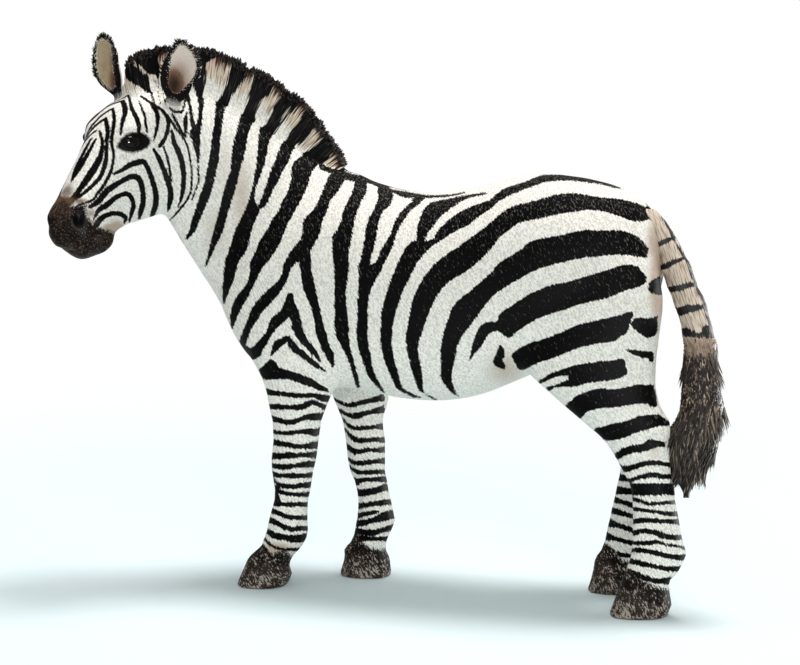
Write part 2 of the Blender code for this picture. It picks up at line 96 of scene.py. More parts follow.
# the head's own axes: down the nose, out of the brow, and to its left
headSet = {"heading": 62, "pitch": 48, "length": 28.8 * mm, "depth": 19 * mm, "halfWidth": 6 * mm,
           "pollFromTrunk": (48.758 * mm, 7.010 * mm, 32.880 * mm)}
heading, pitch = math.radians(headSet["heading"]), math.radians(headSet["pitch"])
headForward = Vector((math.cos(heading), math.sin(heading), 0))
noseAxis = headForward * math.cos(pitch) - Vector((0, 0, math.sin(pitch)))
browAxis = headForward * math.sin(pitch) + Vector((0, 0, math.cos(pitch)))
leftAxis = Vector((-math.sin(heading), math.cos(heading), 0))
poll = trunkMiddle + Vector(headSet["pollFromTrunk"])


def headPoint(along, out, aside):
    return (poll + noseAxis * along * headSet["length"] + browAxis * out * headSet["depth"]
            + leftAxis * aside * headSet["halfWidth"])


# stripes, read from the photograph
# down: level, left edge, right edge
trunkDown = {
    "poll": [(80, 193, 204), (100, 198, 204.5), (120, 198, 202.5), (130, 190, 201),
             (140, 192, 200.5), (150, 195, 200), (160, 197.5, 200), (170, 197.5, 199.5),
             (180, 198, 199.8), (190, 195, 196.8), (200, 191, 193)],
    "neck1": [(78, 219, 231), (100, 216, 227), (120, 214.5, 223.5), (140, 212, 221),
              (160, 209, 219), (180, 205, 215), (200, 198.5, 209), (220, 192, 200),
              (230, 189.5, 196), (239, 185, 188)],
    "neck2": [(80, 250, 264), (100, 246, 258.5), (110, 242, 256), (120, 240, 255),
              (130, 237, 249.5), (150, 232.5, 246), (170, 230.5, 240.5), (190, 224, 235.5),
              (210, 219.5, 229), (230, 214, 223.5), (250, 209, 214), (266, 205, 207)],
    "neck3": [(100, 272, 288), (120, 266, 283), (127, 260, 279), (140, 259, 270),
              (160, 257, 266), (180, 254, 259), (190, 251.5, 256), (200, 249, 255.5),
              (210, 245, 260), (220, 240, 256), (230, 235.5, 252), (250, 229, 247),
              (260, 225.5, 240), (270, 224.2, 236.7), (280, 223.3, 234), (290, 222.5, 230),
              (303, 223, 225)],
    "neck4": [(110, 302, 316), (130, 292, 310), (140, 284, 303), (150, 279, 293.5),
              (160, 275, 289.5), (170, 271, 283.5), (180, 268, 279), (190, 264.5, 273.5),
              (200, 261, 269), (208, 257, 264)],
    "shoulder1": [(135, 322, 342), (145, 314, 339), (150, 311, 338), (160, 295.5, 324),
                  (170, 292, 313.5), (180, 291, 309.5), (190, 288.5, 306), (200, 283, 301),
                  (210, 279, 295.5), (220, 272, 290), (230, 267, 285.5), (240, 260, 281.5),
                  (250, 256, 276), (260, 251.3, 269.5), (265, 250.3, 264.5), (275, 249.2, 259),
                  (285, 245.8, 254.2), (295, 237.5, 249.2), (305, 232.5, 243.7), (315, 230.5, 238.3),
                  (322, 230.5, 235.5), (329, 232, 233)],
    "shoulder2": [(168, 337, 344), (175, 330, 350), (180, 327, 345), (190, 323, 339),
                  (200, 318.5, 331), (210, 313, 328), (220, 304, 323), (230, 303, 321),
                  (240, 300, 317), (250, 291, 311.5), (256, 288, 311.5), (262, 285, 312)],
    "breastLine": [(258, 286, 300), (265, 283.5, 294), (270, 283, 291), (280, 278.5, 287.5),
                   (290, 267, 281.7), (300, 257.7, 274), (310, 251, 264), (320, 247.7, 257.7),
                   (330, 243.5, 251.5), (340, 239.8, 247.7), (345, 241.5, 246.5),
                   (350, 243, 256), (355, 246, 261), (361, 248, 250)],
    "elbowLine": [(254, 297, 311.5), (270, 300.8, 312), (280, 301.7, 314.2), (290, 304.2, 316.3),
                  (300, 308.3, 318.7), (315, 313.7, 322), (330, 315.8, 325.8), (345, 320.8, 330),
                  (355, 325.8, 334.2), (366, 332, 335)],
    "chevronFront": [(292, 289, 293.5), (300, 285.5, 294.5), (310, 281, 296), (318, 271.5, 288),
                     (330, 267, 275.5), (340, 259.5, 269), (350, 250, 263), (356, 248, 258)],
    "chevronRear": [(292, 289, 293.5), (300, 286, 294.5), (310, 288, 299), (320, 291, 302),
                    (330, 293, 303.5), (340, 299, 309), (350, 309, 317), (361, 319, 321.5)],
    "chevronLowFront": [(335, 286.7, 290), (340, 276, 290), (345, 273, 283), (350, 272, 277.5),
                        (355.5, 270.5, 272)],
    "chevronLowRear": [(335, 286.7, 290.5), (345, 288.5, 297), (350, 292, 304), (355, 299, 309),
                       (360, 306, 315), (366, 314, 321), (371, 325, 328)],
    "barrel1": [(177, 356, 368), (190, 353, 367), (200, 348.3, 362.5), (210, 343.7, 358),
                (220, 341.2, 355), (230, 337.2, 353), (236, 333, 352.5), (250, 332.5, 349.7),
                (270, 334.5, 349), (290, 334.8, 346.5), (310, 335, 347.5), (330, 335, 349),
                (340, 338.7, 349.5), (350, 344, 351.5), (360, 349, 354), (375, 353.5, 358),
                (387, 357, 360)],
    "barrel2Front": [(180, 379, 384), (190, 378, 391.7), (197, 378.7, 393.3), (205, 375.8, 390),
                     (210, 373.3, 384), (220, 368.3, 379.7), (230, 365.8, 377.5),
                     (240, 364.7, 375.8), (250, 363, 373.3), (262, 360, 370.5), (268, 358.7, 372)],
    "barrel2Rear": [(196, 414, 426), (202, 410.8, 421.7), (210, 402.5, 411.7), (220, 395.8, 404.2),
                    (230, 392, 398.3), (240, 387.2, 395), (250, 380.8, 391.3), (260, 377, 386.3),
                    (268, 368, 382.5)],
    "barrel2": [(264, 358.7, 384), (270, 358.7, 381.7), (280, 358.7, 375.8), (290, 358.7, 371.3),
                (300, 358, 368.7), (315, 357.5, 368.3), (335, 356.7, 368), (345, 358.3, 369.2),
                (355, 361.3, 370.8), (365, 365, 372.5), (375, 368.3, 375.8), (385, 376.5, 381),
                (392, 384, 385)],
    "barrel3": [(240, 412.5, 437), (245, 408.3, 433.3), (250, 404.7, 428.3), (260, 399.2, 419.7),
                (270, 395, 413.3), (280, 390.8, 408.7), (290, 387.5, 403.7), (300, 384.7, 400),
                (310, 382, 396.7), (320, 381.2, 394.2), (330, 380.8, 393), (345, 381.3, 392.5),
                (360, 385, 395), (370, 388.7, 397.8), (380, 393.3, 400.3), (388, 397.5, 403.5),
                (392, 404, 410), (397, 414, 421)],
    "groinMark": [(344, 500, 502), (350, 498, 505), (355, 496, 505), (360, 494, 503),
                  (365, 495.5, 506), (369, 504, 505)],
}
# across: place, top edge, bottom edge
trunkAcross = {
    "breastMark": [(259, 369.5, 370.5), (264, 365, 378), (272, 358.5, 379), (280, 367, 378.5),
                   (290, 370.3, 379), (300, 373.5, 382.8), (310, 377.5, 385.8),
                   (320, 383.3, 389.5), (329, 390, 391.5)],
    "barrel3Front": [(417, 229, 248), (420, 219, 246), (424, 209, 244), (428, 204.5, 233),
                     (432, 202, 228), (440, 199.5, 217), (450, 198, 209.3), (460, 195.5, 202),
                     (470, 194, 197.5), (480, 192.5, 195.5), (487, 191.8, 193.3)],
    "barrel3Rear": [(420, 240, 256), (428, 240, 249), (434, 238, 244.5), (437, 232, 243),
                    (441, 227, 240.5), (450, 218.5, 234.5), (460, 211.3, 229), (470, 206.7, 223.5),
                    (480, 202.8, 215.8), (490, 199.3, 209), (500, 190.8, 200.5),
                    (510, 185.8, 195.5), (520, 182.7, 190.7), (530, 179, 187), (540, 175, 183.5),
                    (550, 174, 181), (570, 174, 180.3), (590, 177.5, 182.5), (600, 180, 183.8),
                    (615, 184.5, 187.5), (627, 188, 189.7)],
    "rump4": [(512, 354, 356), (516, 350.3, 364), (519, 348, 368.5), (525, 345, 369),
              (530, 342.5, 366.7), (540, 339.7, 361.7), (550, 336.3, 359), (560, 332.5, 355),
              (570, 327.5, 350.8), (580, 323.7, 347), (590, 321.7, 345), (600, 319.2, 342.8),
              (615, 315.5, 340.8), (620, 314.7, 336.7), (627, 312, 332.5), (630, 311.2, 325),
              (634, 310.8, 314)],
    "buttock4": [(631, 322, 325), (636, 317.5, 330), (642, 317.3, 334.5), (648, 317.3, 337.5),
                 (655, 316.5, 335.5), (658, 314.5, 330)],
    "buttock5": [(626, 348.8, 350), (632, 348.7, 353.5), (640, 350, 356.5), (648, 350.5, 358.5),
                 (654, 351, 363.5)],
    "buttock3": [(648, 284, 289), (653, 279.5, 293), (660, 276, 294.5), (664, 281, 293),
                 (667, 285, 289)],
    "rump5": [(569, 366.5, 386), (577, 364.5, 385.8), (587, 362.5, 382.5), (600, 360.8, 380.8),
              (613, 360, 379.3), (621, 358.3, 377.5), (625, 360, 374.8), (627.5, 369, 373.3)],
    "rump5Upper": [(539, 381, 384.5), (545, 377, 381), (552, 372.8, 378), (562, 369.3, 375),
                   (571, 366.3, 376)],
    "rump5Lower": [(547.5, 386.5, 391), (550, 385.8, 390), (556, 384.8, 386.8), (563, 381.5, 386),
                   (570, 378.5, 386)],
    "thigh1": [(566, 405.5, 407.5), (570, 401.7, 412), (577, 395.8, 417.5), (581, 393.5, 417.5),
               (587, 391.5, 411.7), (595, 389, 408.8), (603, 388.3, 407.5), (617, 388.7, 406.3),
               (627, 387, 404.7), (637, 384, 403), (647, 384.7, 403), (653, 384, 406),
               (657, 396, 406)],
    "thigh2": [(595, 428.5, 430.5), (603, 426.3, 438.5), (610, 424.5, 440), (617, 423, 439),
               (627, 421, 435.8), (637, 416.7, 431.7), (647, 415, 429), (657, 414, 426),
               (663, 417, 425), (672, 423.3, 424.5)],
    "thigh3": [(615.8, 453, 457), (619, 451, 458.5), (623, 448.3, 456), (633, 445, 452.5),
               (643, 443.3, 451), (650, 439, 449.3), (657, 440.3, 446.7), (666, 441.3, 445.8)],
    "gaskin1": [(617, 461, 468), (623, 465.3, 471.3), (630, 465.3, 470.8), (640, 462, 467),
                (650, 460.3, 464.7), (660, 460.3, 464.2), (670, 462.5, 466.7), (680, 463, 466)],
    "gaskin2": [(617.8, 472.5, 480), (623, 477.5, 480.8), (630, 478.3, 482), (640, 474.7, 478.7),
                (650, 472.5, 477.5), (657, 472.5, 477.2), (663, 473.7, 478.3),
                (680, 474.2, 478.3)],
    "hindRing1": [(626, 483, 494.7), (640, 483, 494.7), (656, 483, 494.5), (680, 483, 494)],
    "hindRing2": [(626, 496, 499), (640, 498.3, 501.7), (648, 501.7, 504.7), (657, 501.7, 504.7),
                  (667, 500.8, 503.7), (680, 499.7, 504)],
    "hindRing3": [(626, 506, 509), (640, 507.5, 510.8), (650, 509.2, 512), (660, 510.3, 513.3),
                  (670, 511.3, 515.3), (682, 510.8, 515.8)],
    "hindRing4": [(626, 519.5, 522), (633, 518.7, 523.3), (643, 517.5, 522.5), (653, 518, 522),
                  (663, 518.7, 522.5), (673, 518.7, 523), (684, 518.3, 525.8)],
    "hindRing5": [(626, 530, 533), (634, 530, 535), (643, 528.3, 533), (653, 529.2, 533.7),
                  (660, 530.8, 536.7), (670, 534.2, 539.2), (687, 534.2, 539)],
    "hindRing6": [(626, 540, 543), (643, 540.8, 544.7), (657, 540, 543.3), (667, 543, 545.3),
                  (678, 544.7, 547), (688, 547, 550)],
    "hindRing7": [(626, 549, 552), (640, 547.5, 551.7), (650, 549.2, 553.3), (660, 551.3, 555.8),
                  (670, 553.7, 558.3), (680, 554.2, 559.7), (690, 554, 559)],
    "hindRing8": [(626, 557, 562), (643, 560.8, 565.8), (653, 563.3, 567.5), (663, 565.8, 569.7),
                  (673, 566.3, 570.8), (688, 565.3, 570)],
    "hindRing9": [(628, 568, 573), (638, 571.7, 576.7), (648, 575.8, 580.8), (658, 578, 583),
                  (672, 576.7, 584)],
    "foreRing1": [(262, 387, 394), (272, 389.7, 394.7), (280, 391, 395.3), (288, 392, 396.3),
                  (297, 393, 397.3), (305, 393.3, 397), (313, 392.7, 396.7), (320, 393.3, 399.7),
                  (332, 396, 402.5)],
    "foreRing2": [(262, 403.7, 408), (277, 403.7, 408.7), (285, 404.7, 408.7), (293, 404.7, 409.2),
                  (302, 403.7, 409.2), (308, 400.8, 406.7), (313, 400, 404.2), (318, 401.7, 405.8),
                  (330, 405.5, 413)],
    "foreRing3": [(266, 413, 419), (282, 418, 423), (290, 419.7, 424.2), (297, 418, 423),
                  (305, 414.7, 419.2), (313, 413.3, 419.7), (328, 412, 419)],
    "foreRing4": [(266, 428, 431), (280, 430.8, 434.2), (290, 430.3, 434.2), (300, 429.7, 433.3),
                  (310, 428.3, 433.7), (316, 428.3, 435.8), (327, 424.5, 430)],
    "foreRing5": [(266, 436, 444), (280, 440.3, 445.3), (288, 441.7, 446.7), (297, 443.7, 448),
                  (307, 443.3, 448.3), (326, 439, 448)],
    "foreRing6": [(266, 451, 459.5), (280, 453, 458.3), (290, 451.7, 458), (298, 453, 457),
                  (308, 452, 457), (324, 450.5, 458.3)],
    "foreRing7": [(266, 462, 466), (280, 463.7, 468.7), (288, 463.7, 468.7), (297, 463.3, 467),
                  (307, 460.8, 466.7), (322, 461.7, 467)],
    "foreRing8": [(266, 468, 476), (280, 473, 477), (290, 472.5, 477), (302, 473.3, 477.5),
                  (321, 471, 476)],
    "foreRing9": [(268, 475, 479), (274, 477.5, 481), (278, 481.3, 485.3), (287, 483.7, 488),
                  (297, 483.7, 488), (305, 482, 487), (319, 480.5, 486.7)],
    "foreRing10": [(268, 486, 490), (280, 489.2, 493.3), (288, 491.3, 494.7), (298, 492.5, 495.8),
                   (317, 491, 495.8)],
    "foreRing11": [(268, 499, 504), (282, 501.7, 505.8), (290, 502, 506.3), (300, 502, 505.8),
                   (316, 502, 507.5)],
    "foreRing12": [(264, 504, 509), (272, 507.5, 512.5), (280, 510.8, 515.3), (288, 514.2, 518.3),
                   (297, 515.3, 519.2), (316, 514.7, 519.7)],
    "foreRing13": [(260, 513, 519), (270, 516.7, 522.5), (277, 520, 525), (285, 524.2, 529.2),
                   (293, 526.7, 530.8), (300, 525.8, 530), (318, 525.8, 530)],
    "foreRing14": [(260, 525, 530), (267.5, 527.5, 533.3), (275, 532, 538.3), (285, 533.7, 539.7),
                   (295, 535, 542), (318, 530.8, 539.2)],
    "foreRing15": [(258, 533, 536), (265, 537.5, 540.5), (273, 544.2, 547.2), (280, 547, 549),
                   (288, 547.5, 550), (298, 547.5, 550.3), (312, 546, 549)],
}
# opposite edges: x, y of one edge and x, y of the other
trunkPairs = {
    "barrel4": [(660, 214, 660, 219), (650, 209.2, 650, 219.2), (640, 203.7, 640, 221.3),
                (630, 200.8, 630, 219.7), (620, 198.7, 620, 215.8), (600, 196.7, 600, 210.3),
                (580, 193, 580, 210.3), (560, 193.3, 560, 213.7), (540, 198.7, 540, 218),
                (520, 203.7, 520, 222.5), (510, 207.5, 510, 229.2), (500, 214, 500, 237.5),
                (490, 223, 491, 249), (480, 230.8, 481, 259), (470, 238, 470, 268.7),
                (460, 245.3, 460, 275), (450, 251.5, 450, 281), (440, 259, 443, 288.5),
                (430, 268.7, 437, 296), (422, 280, 433, 304), (415, 294, 429.5, 312),
                (411, 308, 426.5, 320), (409, 320, 423, 331), (406, 338, 419.5, 341),
                (408, 352, 418.5, 352), (410, 362, 420.5, 364), (413, 372, 422.5, 374),
                (416.5, 382, 423, 382), (420, 390, 424, 391), (430, 395.3, 430, 396.7),
                (437, 399, 437, 400)],
    "barrel5": [(648.5, 248, 648, 257), (644, 242, 644, 257.5), (636.7, 235.3, 636.7, 256.3),
                (627, 231.5, 627, 254.7), (617, 229.8, 617, 254.2), (600, 230, 600, 255.8),
                (590, 229.2, 590, 256.7), (580, 230.3, 580, 258.3), (570, 232.5, 570, 260.3),
                (550, 236.7, 550, 265.3), (540, 238.3, 540, 268.5), (530, 241.7, 530, 272.5),
                (520, 249.8, 520, 278.5), (510, 255.8, 510, 284.2), (500, 262, 500, 290.7),
                (490, 273.3, 491, 298), (480, 282, 481, 311), (470, 291, 471, 325),
                (460, 298.5, 463, 335), (453, 306, 458, 345), (449, 317, 456, 355),
                (445, 328, 453.5, 366), (442, 342, 452, 374), (441, 356, 452, 381),
                (441.5, 368, 453.5, 386), (442, 378, 455, 390), (449, 389, 457, 394),
                (455, 394, 459, 396)],
    "barrel6": [(647, 277, 647, 282), (643, 271, 643, 284.5), (637, 265.5, 637, 287),
                (627, 264.2, 627, 290), (617, 266.3, 617, 294), (607, 269.5, 607, 297.8),
                (597, 272.7, 597, 300.2), (587, 275.5, 587, 302.2), (577, 278.5, 577, 305),
                (567, 281.5, 567, 308.7), (557, 283.3, 557, 311.8), (547, 286, 547, 315),
                (537, 290.3, 537, 319), (530, 293.3, 530, 323), (520, 299.7, 520, 329.3),
                (513, 304.3, 514, 334), (507, 308, 508, 338), (500, 313.5, 502, 333),
                (497, 321.5, 497, 330.5), (490, 320.8, 490, 333.3), (483, 323.5, 486, 339),
                (477, 331.5, 481, 346.5), (473.5, 342, 476, 352), (471, 353, 471.5, 357.5),
                (469, 361, 469.5, 361.5)],
}
# lines: x, y and half width
trunkLines = {
    "spine": [(322, 166, 3), (340, 173, 4), (352, 177, 4), (365, 179, 2.5), (380, 185, 2),
              (392, 190, 1.5), (405, 194, 3.5), (415, 195, 2.5), (430, 196, 1.6), (450, 195, 1.2),
              (465, 192, 0.8)],
    "foreRingJoin": [(277, 488, 2.8), (276.5, 495, 3), (279, 503, 2.8)],
    "fetlockLine": [(256, 541, 1), (264, 546, 1.2), (270, 554, 0.8)],
    "earHook": [(170.4, 107.9, 1), (174.2, 110.4, 1.3), (178.3, 111.3, 1.4), (182.1, 111.2, 1.5),
                (183.8, 107.5, 1.2), (185.8, 100, 1.2), (187, 93, 1.5)],
    "behindEar": [(184.5, 86, 1.5), (188.3, 95.8, 1.8), (190, 105, 1.7), (191.7, 113.3, 1.8),
                  (193.3, 123.3, 2.1), (195, 131, 2.5)],
    "temple3": [(172.3, 113.5, 1), (176.7, 120.8, 1.5), (180, 127.5, 1.4), (183.3, 133.3, 1.3),
                (186, 136, 0.8)],
    "temple4": [(187.5, 112, 0.8), (186, 117, 2), (185.8, 123, 2.2), (185.8, 130, 1.9),
                (186, 136, 0.9)],
}
faceLines = {
    "lid1": [(121.7, 97, 2), (125, 106, 3), (125, 113, 2.5), (122.5, 122, 2), (120.8, 134, 1)],
    "lid2": [(129, 94, 1.2), (132, 107, 2), (136, 115, 2.5), (139, 123, 2.5), (139, 130, 2)],
    "lid3": [(139, 100, 1), (142, 107, 1.3), (145, 115, 1.4), (146.5, 125, 1.4), (147.5, 131, 1)],
    "temple1": [(150, 90, 2), (153, 103, 2.5), (157.5, 112, 2.5), (158, 120, 2), (156.5, 130, 1.6),
                (154, 139, 1)],
    "cheekEdge": [(137, 92, 1), (150, 101, 1.4), (160, 107, 1.4), (168, 115, 1.5), (176, 127, 1.3),
                  (183, 136, 1.2), (187.5, 145, 1.1), (190, 155, 1.1), (191.5, 165, 1.1),
                  (192, 178, 1.2), (191, 190, 1.2), (188, 198, 1.2), (182, 206, 1.2),
                  (175, 214, 1), (170, 219, 0.7)],
    "temple2": [(160, 107, 1.2), (165, 113, 1.5), (168, 118, 2), (168.5, 125, 2), (166.5, 134, 2),
                (163, 141, 2.3), (160, 145, 2)],
    "jaw1": [(172, 129, 1.2), (174, 140, 2.5), (178, 149, 3), (181.5, 158, 3), (183.5, 168, 2.8),
             (184, 178, 2.8), (183, 190, 2.3), (180.5, 200, 1.4), (178, 206, 0.7)],
    "jaw2": [(164, 146, 1.2), (167, 155, 1.4), (169.5, 165, 1.4), (171.5, 180, 1.4)],
    "jaw3": [(154, 148, 1.5), (159, 157, 2.5), (163, 166, 2.5), (167, 177, 2.8), (170.5, 188, 3),
             (171, 196, 3), (169.5, 204, 2.3), (168, 210, 0.8)],
    "cheek1": [(114, 173, 1.3), (122, 169, 2.2), (130, 164, 2.8), (137, 161.5, 3), (143, 160.5, 3),
               (147, 165, 2.5), (150.5, 173, 2.6), (153.5, 182, 2.8), (156, 192, 3),
               (156, 203, 3), (153.5, 211, 2.8), (151.5, 216, 1.5)],
    "cheek2": [(90, 206, 2), (99, 200, 3), (106, 191, 3.2), (113, 185.5, 3), (122, 180, 2.7),
               (130, 176, 3), (136, 175.5, 3.1), (140.5, 180, 3), (143, 190, 2.8),
               (143.5, 200, 2.9), (141.5, 209, 2.8), (139.5, 217, 1.6)],
    "cheek3": [(94, 218, 1), (99, 209, 2.5), (107, 204, 3), (115, 197, 2.7), (122, 193.5, 2.5),
               (128, 193, 2.7), (132.5, 198, 2.4), (133.5, 206, 2.3), (131, 215, 1.9),
               (129.5, 221, 0.8)],
    "cheek4": [(96, 224, 3), (101, 218, 3), (107, 214, 2.6), (114, 212, 2.5), (121, 213, 2.6),
               (126, 217, 2.3), (124.5, 222, 1)],
    "nose1": [(113, 107, 1.6), (114.5, 118, 2), (113, 130, 1.9), (112, 142, 1.6), (114, 153, 1.5),
              (113, 163, 1.6), (110, 173, 1.8), (104, 184, 1.8), (98, 192, 1.6), (94, 198, 1.5),
              (88, 201, 1.4), (80, 203.5, 1.3), (74, 209, 1.2)],
    "nose2": [(106, 118, 2.2), (108, 130, 2.4), (107, 142, 2), (107, 152, 2.1), (105, 164, 2.4),
              (101, 175, 2.3), (95, 182, 2.1), (90, 187, 2), (83, 193, 1.8), (75, 198.5, 1.6),
              (68, 205, 1.5)],
    "nose3": [(100, 130, 1.5), (102.5, 140, 1.8), (101.5, 152, 2.4), (97, 163, 3.6),
              (90, 174, 3.8), (83, 184, 3.1), (77, 192, 2.6), (71, 199, 2.2), (66, 205, 1.5)],
    "nose4": [(96, 138, 1.2), (91, 147, 1.8), (86, 156, 2.2), (80, 166, 2.6), (73, 176, 2.3),
              (66, 185, 1.6), (63, 192, 1)],
    "nose5": [(80, 160, 0.8), (70, 176, 1), (64, 184, 1.1), (60.5, 192, 1)],
    "browTop1": [(113, 107, 1.2), (102, 112, 1.1), (94, 119, 1.1), (88, 127, 1)],
    "browTop2": [(117, 99, 1.1), (105, 106, 1), (95, 114, 1), (88, 122, 1), (86, 130, 1)],
}
# the far legs, where the photograph shows them
farForeAcross = {
    "ring1": [(330, 396, 399), (345, 403, 405.8), (352, 402.5, 407), (362, 400.3, 405),
              (372, 398, 402.5), (390, 391, 400)],
    "ring2": [(330, 404, 407), (348, 413, 416.7), (357, 412.5, 418.7), (365, 410.8, 415.8),
              (375, 408.7, 413.3), (392, 402, 412)],
    "ring3": [(332, 412, 415), (343, 418.5, 421), (350, 425, 428.3), (357, 426.3, 430.3),
              (367, 425.8, 429.7), (377, 424.7, 428.7), (393, 420, 431)],
    "ring4": [(336, 422, 425), (345, 428.5, 431), (352, 435, 440), (357, 437.5, 442.5),
              (367, 438.3, 442), (377, 437.5, 442), (394, 436, 443.5)],
    "ring5": [(340, 436, 442), (351, 447, 452.5), (358, 449.2, 454.2), (368, 448.3, 452),
              (377, 448, 452), (394, 445.5, 453.5)],
    "ring6": [(342, 452, 455), (353, 460.8, 464.2), (360, 460.8, 465.3), (370, 460, 464.2),
              (378, 459.2, 463.3), (394, 456, 464.5)],
    "ring7": [(344, 461, 463.5), (355, 469.2, 472.5), (362, 470.8, 474.2), (372, 470.3, 474.2),
              (394, 469.5, 474)],
    "ring8": [(346, 473, 478), (356, 478.3, 485.3), (363, 478, 482), (373, 477.5, 481.3),
              (396, 476, 482.8)],
    "ring9": [(348, 487, 494), (357, 488.7, 495.8), (365, 489.2, 495.8), (375, 487.5, 494),
              (383, 484.7, 491.3), (398, 483, 489)],
    "ring10": [(348, 502, 508), (358, 503, 508.7), (368, 502.5, 507), (378, 500.8, 505.8),
               (400, 498, 503.5)],
    "ring11": [(348, 514, 518), (357, 513.3, 518.7), (365, 511.7, 515.8), (372, 510.8, 514.7),
               (379, 510, 512.5)],
    "ring12": [(348, 520, 527), (357, 520, 526.7), (365, 520, 525), (375, 516.7, 522.5),
               (385, 511.7, 520.8), (402, 509, 516)],
    "ring13": [(348, 527, 533), (363, 529, 535), (372, 530, 536), (382, 528, 532.5),
               (402, 521, 528)],
    "ring14": [(348, 534, 540), (363, 536, 541), (372, 537.5, 540.8), (400, 536, 541)],
}
farHindAcross = {
    "ringA": [(590, 443, 448), (630, 446, 451), (665, 447, 452)],
    "ringB": [(590, 455, 460.5), (630, 459, 465), (665, 460, 465.5)],
    "ring0": [(600, 470, 476), (617, 473, 480), (640, 478, 483), (660, 478, 483)],
    "ring1": [(600, 484, 492), (617.5, 486.3, 494), (632, 488.3, 494), (655, 489, 494)],
    "ring2": [(600, 494, 499), (615, 497, 502.5), (623, 500.3, 504.2), (633, 502.5, 508),
              (655, 505, 511)],
    "ring3": [(600, 503, 509), (612, 507.5, 513.3), (620, 510, 515.3), (632.5, 514, 518.7),
              (655, 519, 524)],
    "ring4": [(596, 514, 522), (609, 518, 526.7), (617, 522.5, 527.5), (632, 527.5, 532.5),
              (655, 533, 538)],
    "ring5": [(596, 528, 536), (606, 531.7, 540), (615, 536.3, 540.8), (627, 540, 544.2),
              (655, 545, 550)],
    "ring6": [(596, 540, 546), (618, 551.7, 555.8), (630, 554, 558), (655, 560, 565)],
}

# the neck where the head hides it: bands around it, at places behind the poll, and half widths
hiddenNeck = {"bands": [(-13.6 * mm, 0.5 * mm), (-10.4 * mm, 0.75 * mm), (-7.0 * mm, 0.65 * mm),
                        (-3.8 * mm, 0.6 * mm), (-0.8 * mm, 0.45 * mm)],
              "wave": 0.5 * mm, "waveLength": 3.2 * mm, "until": 189, "behindEdge": 3,
              "sideGap": 0.01 * mm}
# how much thicker the legs' rings are painted, below a height
ringGrow = {"pixels": 0.45, "from": 45 * mm, "over": 10 * mm}

# outlines of the lower legs: level, left edge, right edge
legOutlines = {
    "front_left_leg": [
        (400, 269.5, 328), (410, 270.5, 324.5), (420, 272.5, 321.5), (430, 273, 320),
        (440, 273.5, 318.5), (450, 272.5, 317.5), (460, 271.5, 316), (470, 272, 313.5),
        (480, 273.5, 312), (490, 275, 310.5), (500, 274.5, 308), (510, 271.5, 307.5),
        (520, 269, 307.5), (530, 267, 308), (538, 264, 306.5), (545, 261, 303), (550, 256, 299),
        (555, 250.5, 294), (560, 247, 290.5), (565, 245, 289.5), (573, 241.5, 292),
        (580, 238.5, 289.5), (585, 237.5, 285), (590, 240, 276)],
    "front_right_leg": [
        (400, 338.5, 381.5), (410, 340, 382.5), (420, 342.5, 382.5), (430, 344.5, 383.5),
        (440, 346, 385), (460, 348, 385), (470, 350, 385), (475, 352, 385.5), (480, 354.5, 387),
        (490, 357, 388.5), (500, 358.5, 391), (510, 358, 393), (515, 357.5, 394),
        (520, 358, 395), (525, 356.5, 393.5), (530, 356.5, 391.5), (535, 356.5, 389),
        (540, 354, 387), (545, 347, 386), (550, 344, 386), (555, 344.5, 388.5), (560, 344, 390),
        (565, 342.5, 390.5), (570, 341, 391), (575, 340.5, 390), (579, 345, 385)],
    "hind_left_leg": [
        (480, 629, 673.5), (490, 631.5, 674), (500, 632.5, 675), (510, 633, 677),
        (520, 633, 679), (530, 633, 680.5), (540, 632.5, 682.5), (545, 632, 684),
        (550, 631.5, 685.5), (555, 631, 686), (560, 629.5, 684), (565, 627.5, 682),
        (570, 625.5, 679.5), (575, 623.5, 676.5), (580, 621.5, 670.5), (585, 620, 669),
        (590, 617.5, 669.5), (595, 616, 670), (600, 614, 671), (605, 612, 671.5),
        (610, 610.5, 669.5), (615, 609.5, 667.5), (620, 612, 661)],
    "hind_right_leg": [
        (480, 618, 656), (490, 616.5, 655.5), (500, 614, 654), (510, 611.5, 653),
        (520, 609.5, 651), (530, 607, 650), (540, 605, 650), (545, 603, 649), (550, 601, 648),
        (555, 597, 646), (560, 594.5, 644), (570, 593, 642), (580, 590.5, 643),
        (585, 589, 644), (590, 587.5, 644), (596, 590, 640)],
}
# where each hoof and pastern turns dark, from left to right
hoofBorders = {
    "front_left_leg": [(238, 545), (262, 546), (267, 551), (272, 553), (285, 550), (291, 556),
                       (300, 560)],
    "front_right_leg": [(340, 541), (356, 534), (362, 540), (368, 548), (378, 549), (392, 549)],
    "hind_left_leg": [(610, 560), (620, 566), (630, 571), (640, 578), (650, 584), (660, 588),
                      (676, 590)],
    "hind_right_leg": [(585, 538), (601, 541), (606, 543), (614, 551), (620, 558), (628, 562),
                       (650, 570)],
}
# head paint and hollows: outlines and patches with their two radii and strength
muzzleOutline = [(44, 188), (54, 190), (60, 196), (66, 202), (73, 205), (82, 203), (88, 203),
                 (86, 209), (87, 215), (91, 219), (95, 225), (104, 227), (110, 229), (115, 233),
                 (116, 240), (114, 250), (104, 262), (85, 272), (40, 272), (30, 230)]
lidOutline = [(117.5, 146), (121, 138.5), (126, 134), (132, 131.5), (140, 131), (146, 133.5),
              (150, 138), (150.5, 142), (147, 146.5), (141, 149.5), (133, 151), (126, 150),
              (121, 148)]
farLidOutline = [(80, 135), (84.5, 136), (86, 141), (85, 147), (80, 148)]
noseTan = [(61, 195, 7, 9, 1.3), (67, 200, 9, 6, 1.3), (68, 190, 8, 11, 0.85), (80, 200, 10, 4, 0.9)]
muzzleBrowns = [(64, 209, 10, 8, 1.0), (57, 225, 8, 10, 0.5), (74, 246, 16, 6, 0.4),
                (100, 238, 10, 7, 0.5)]
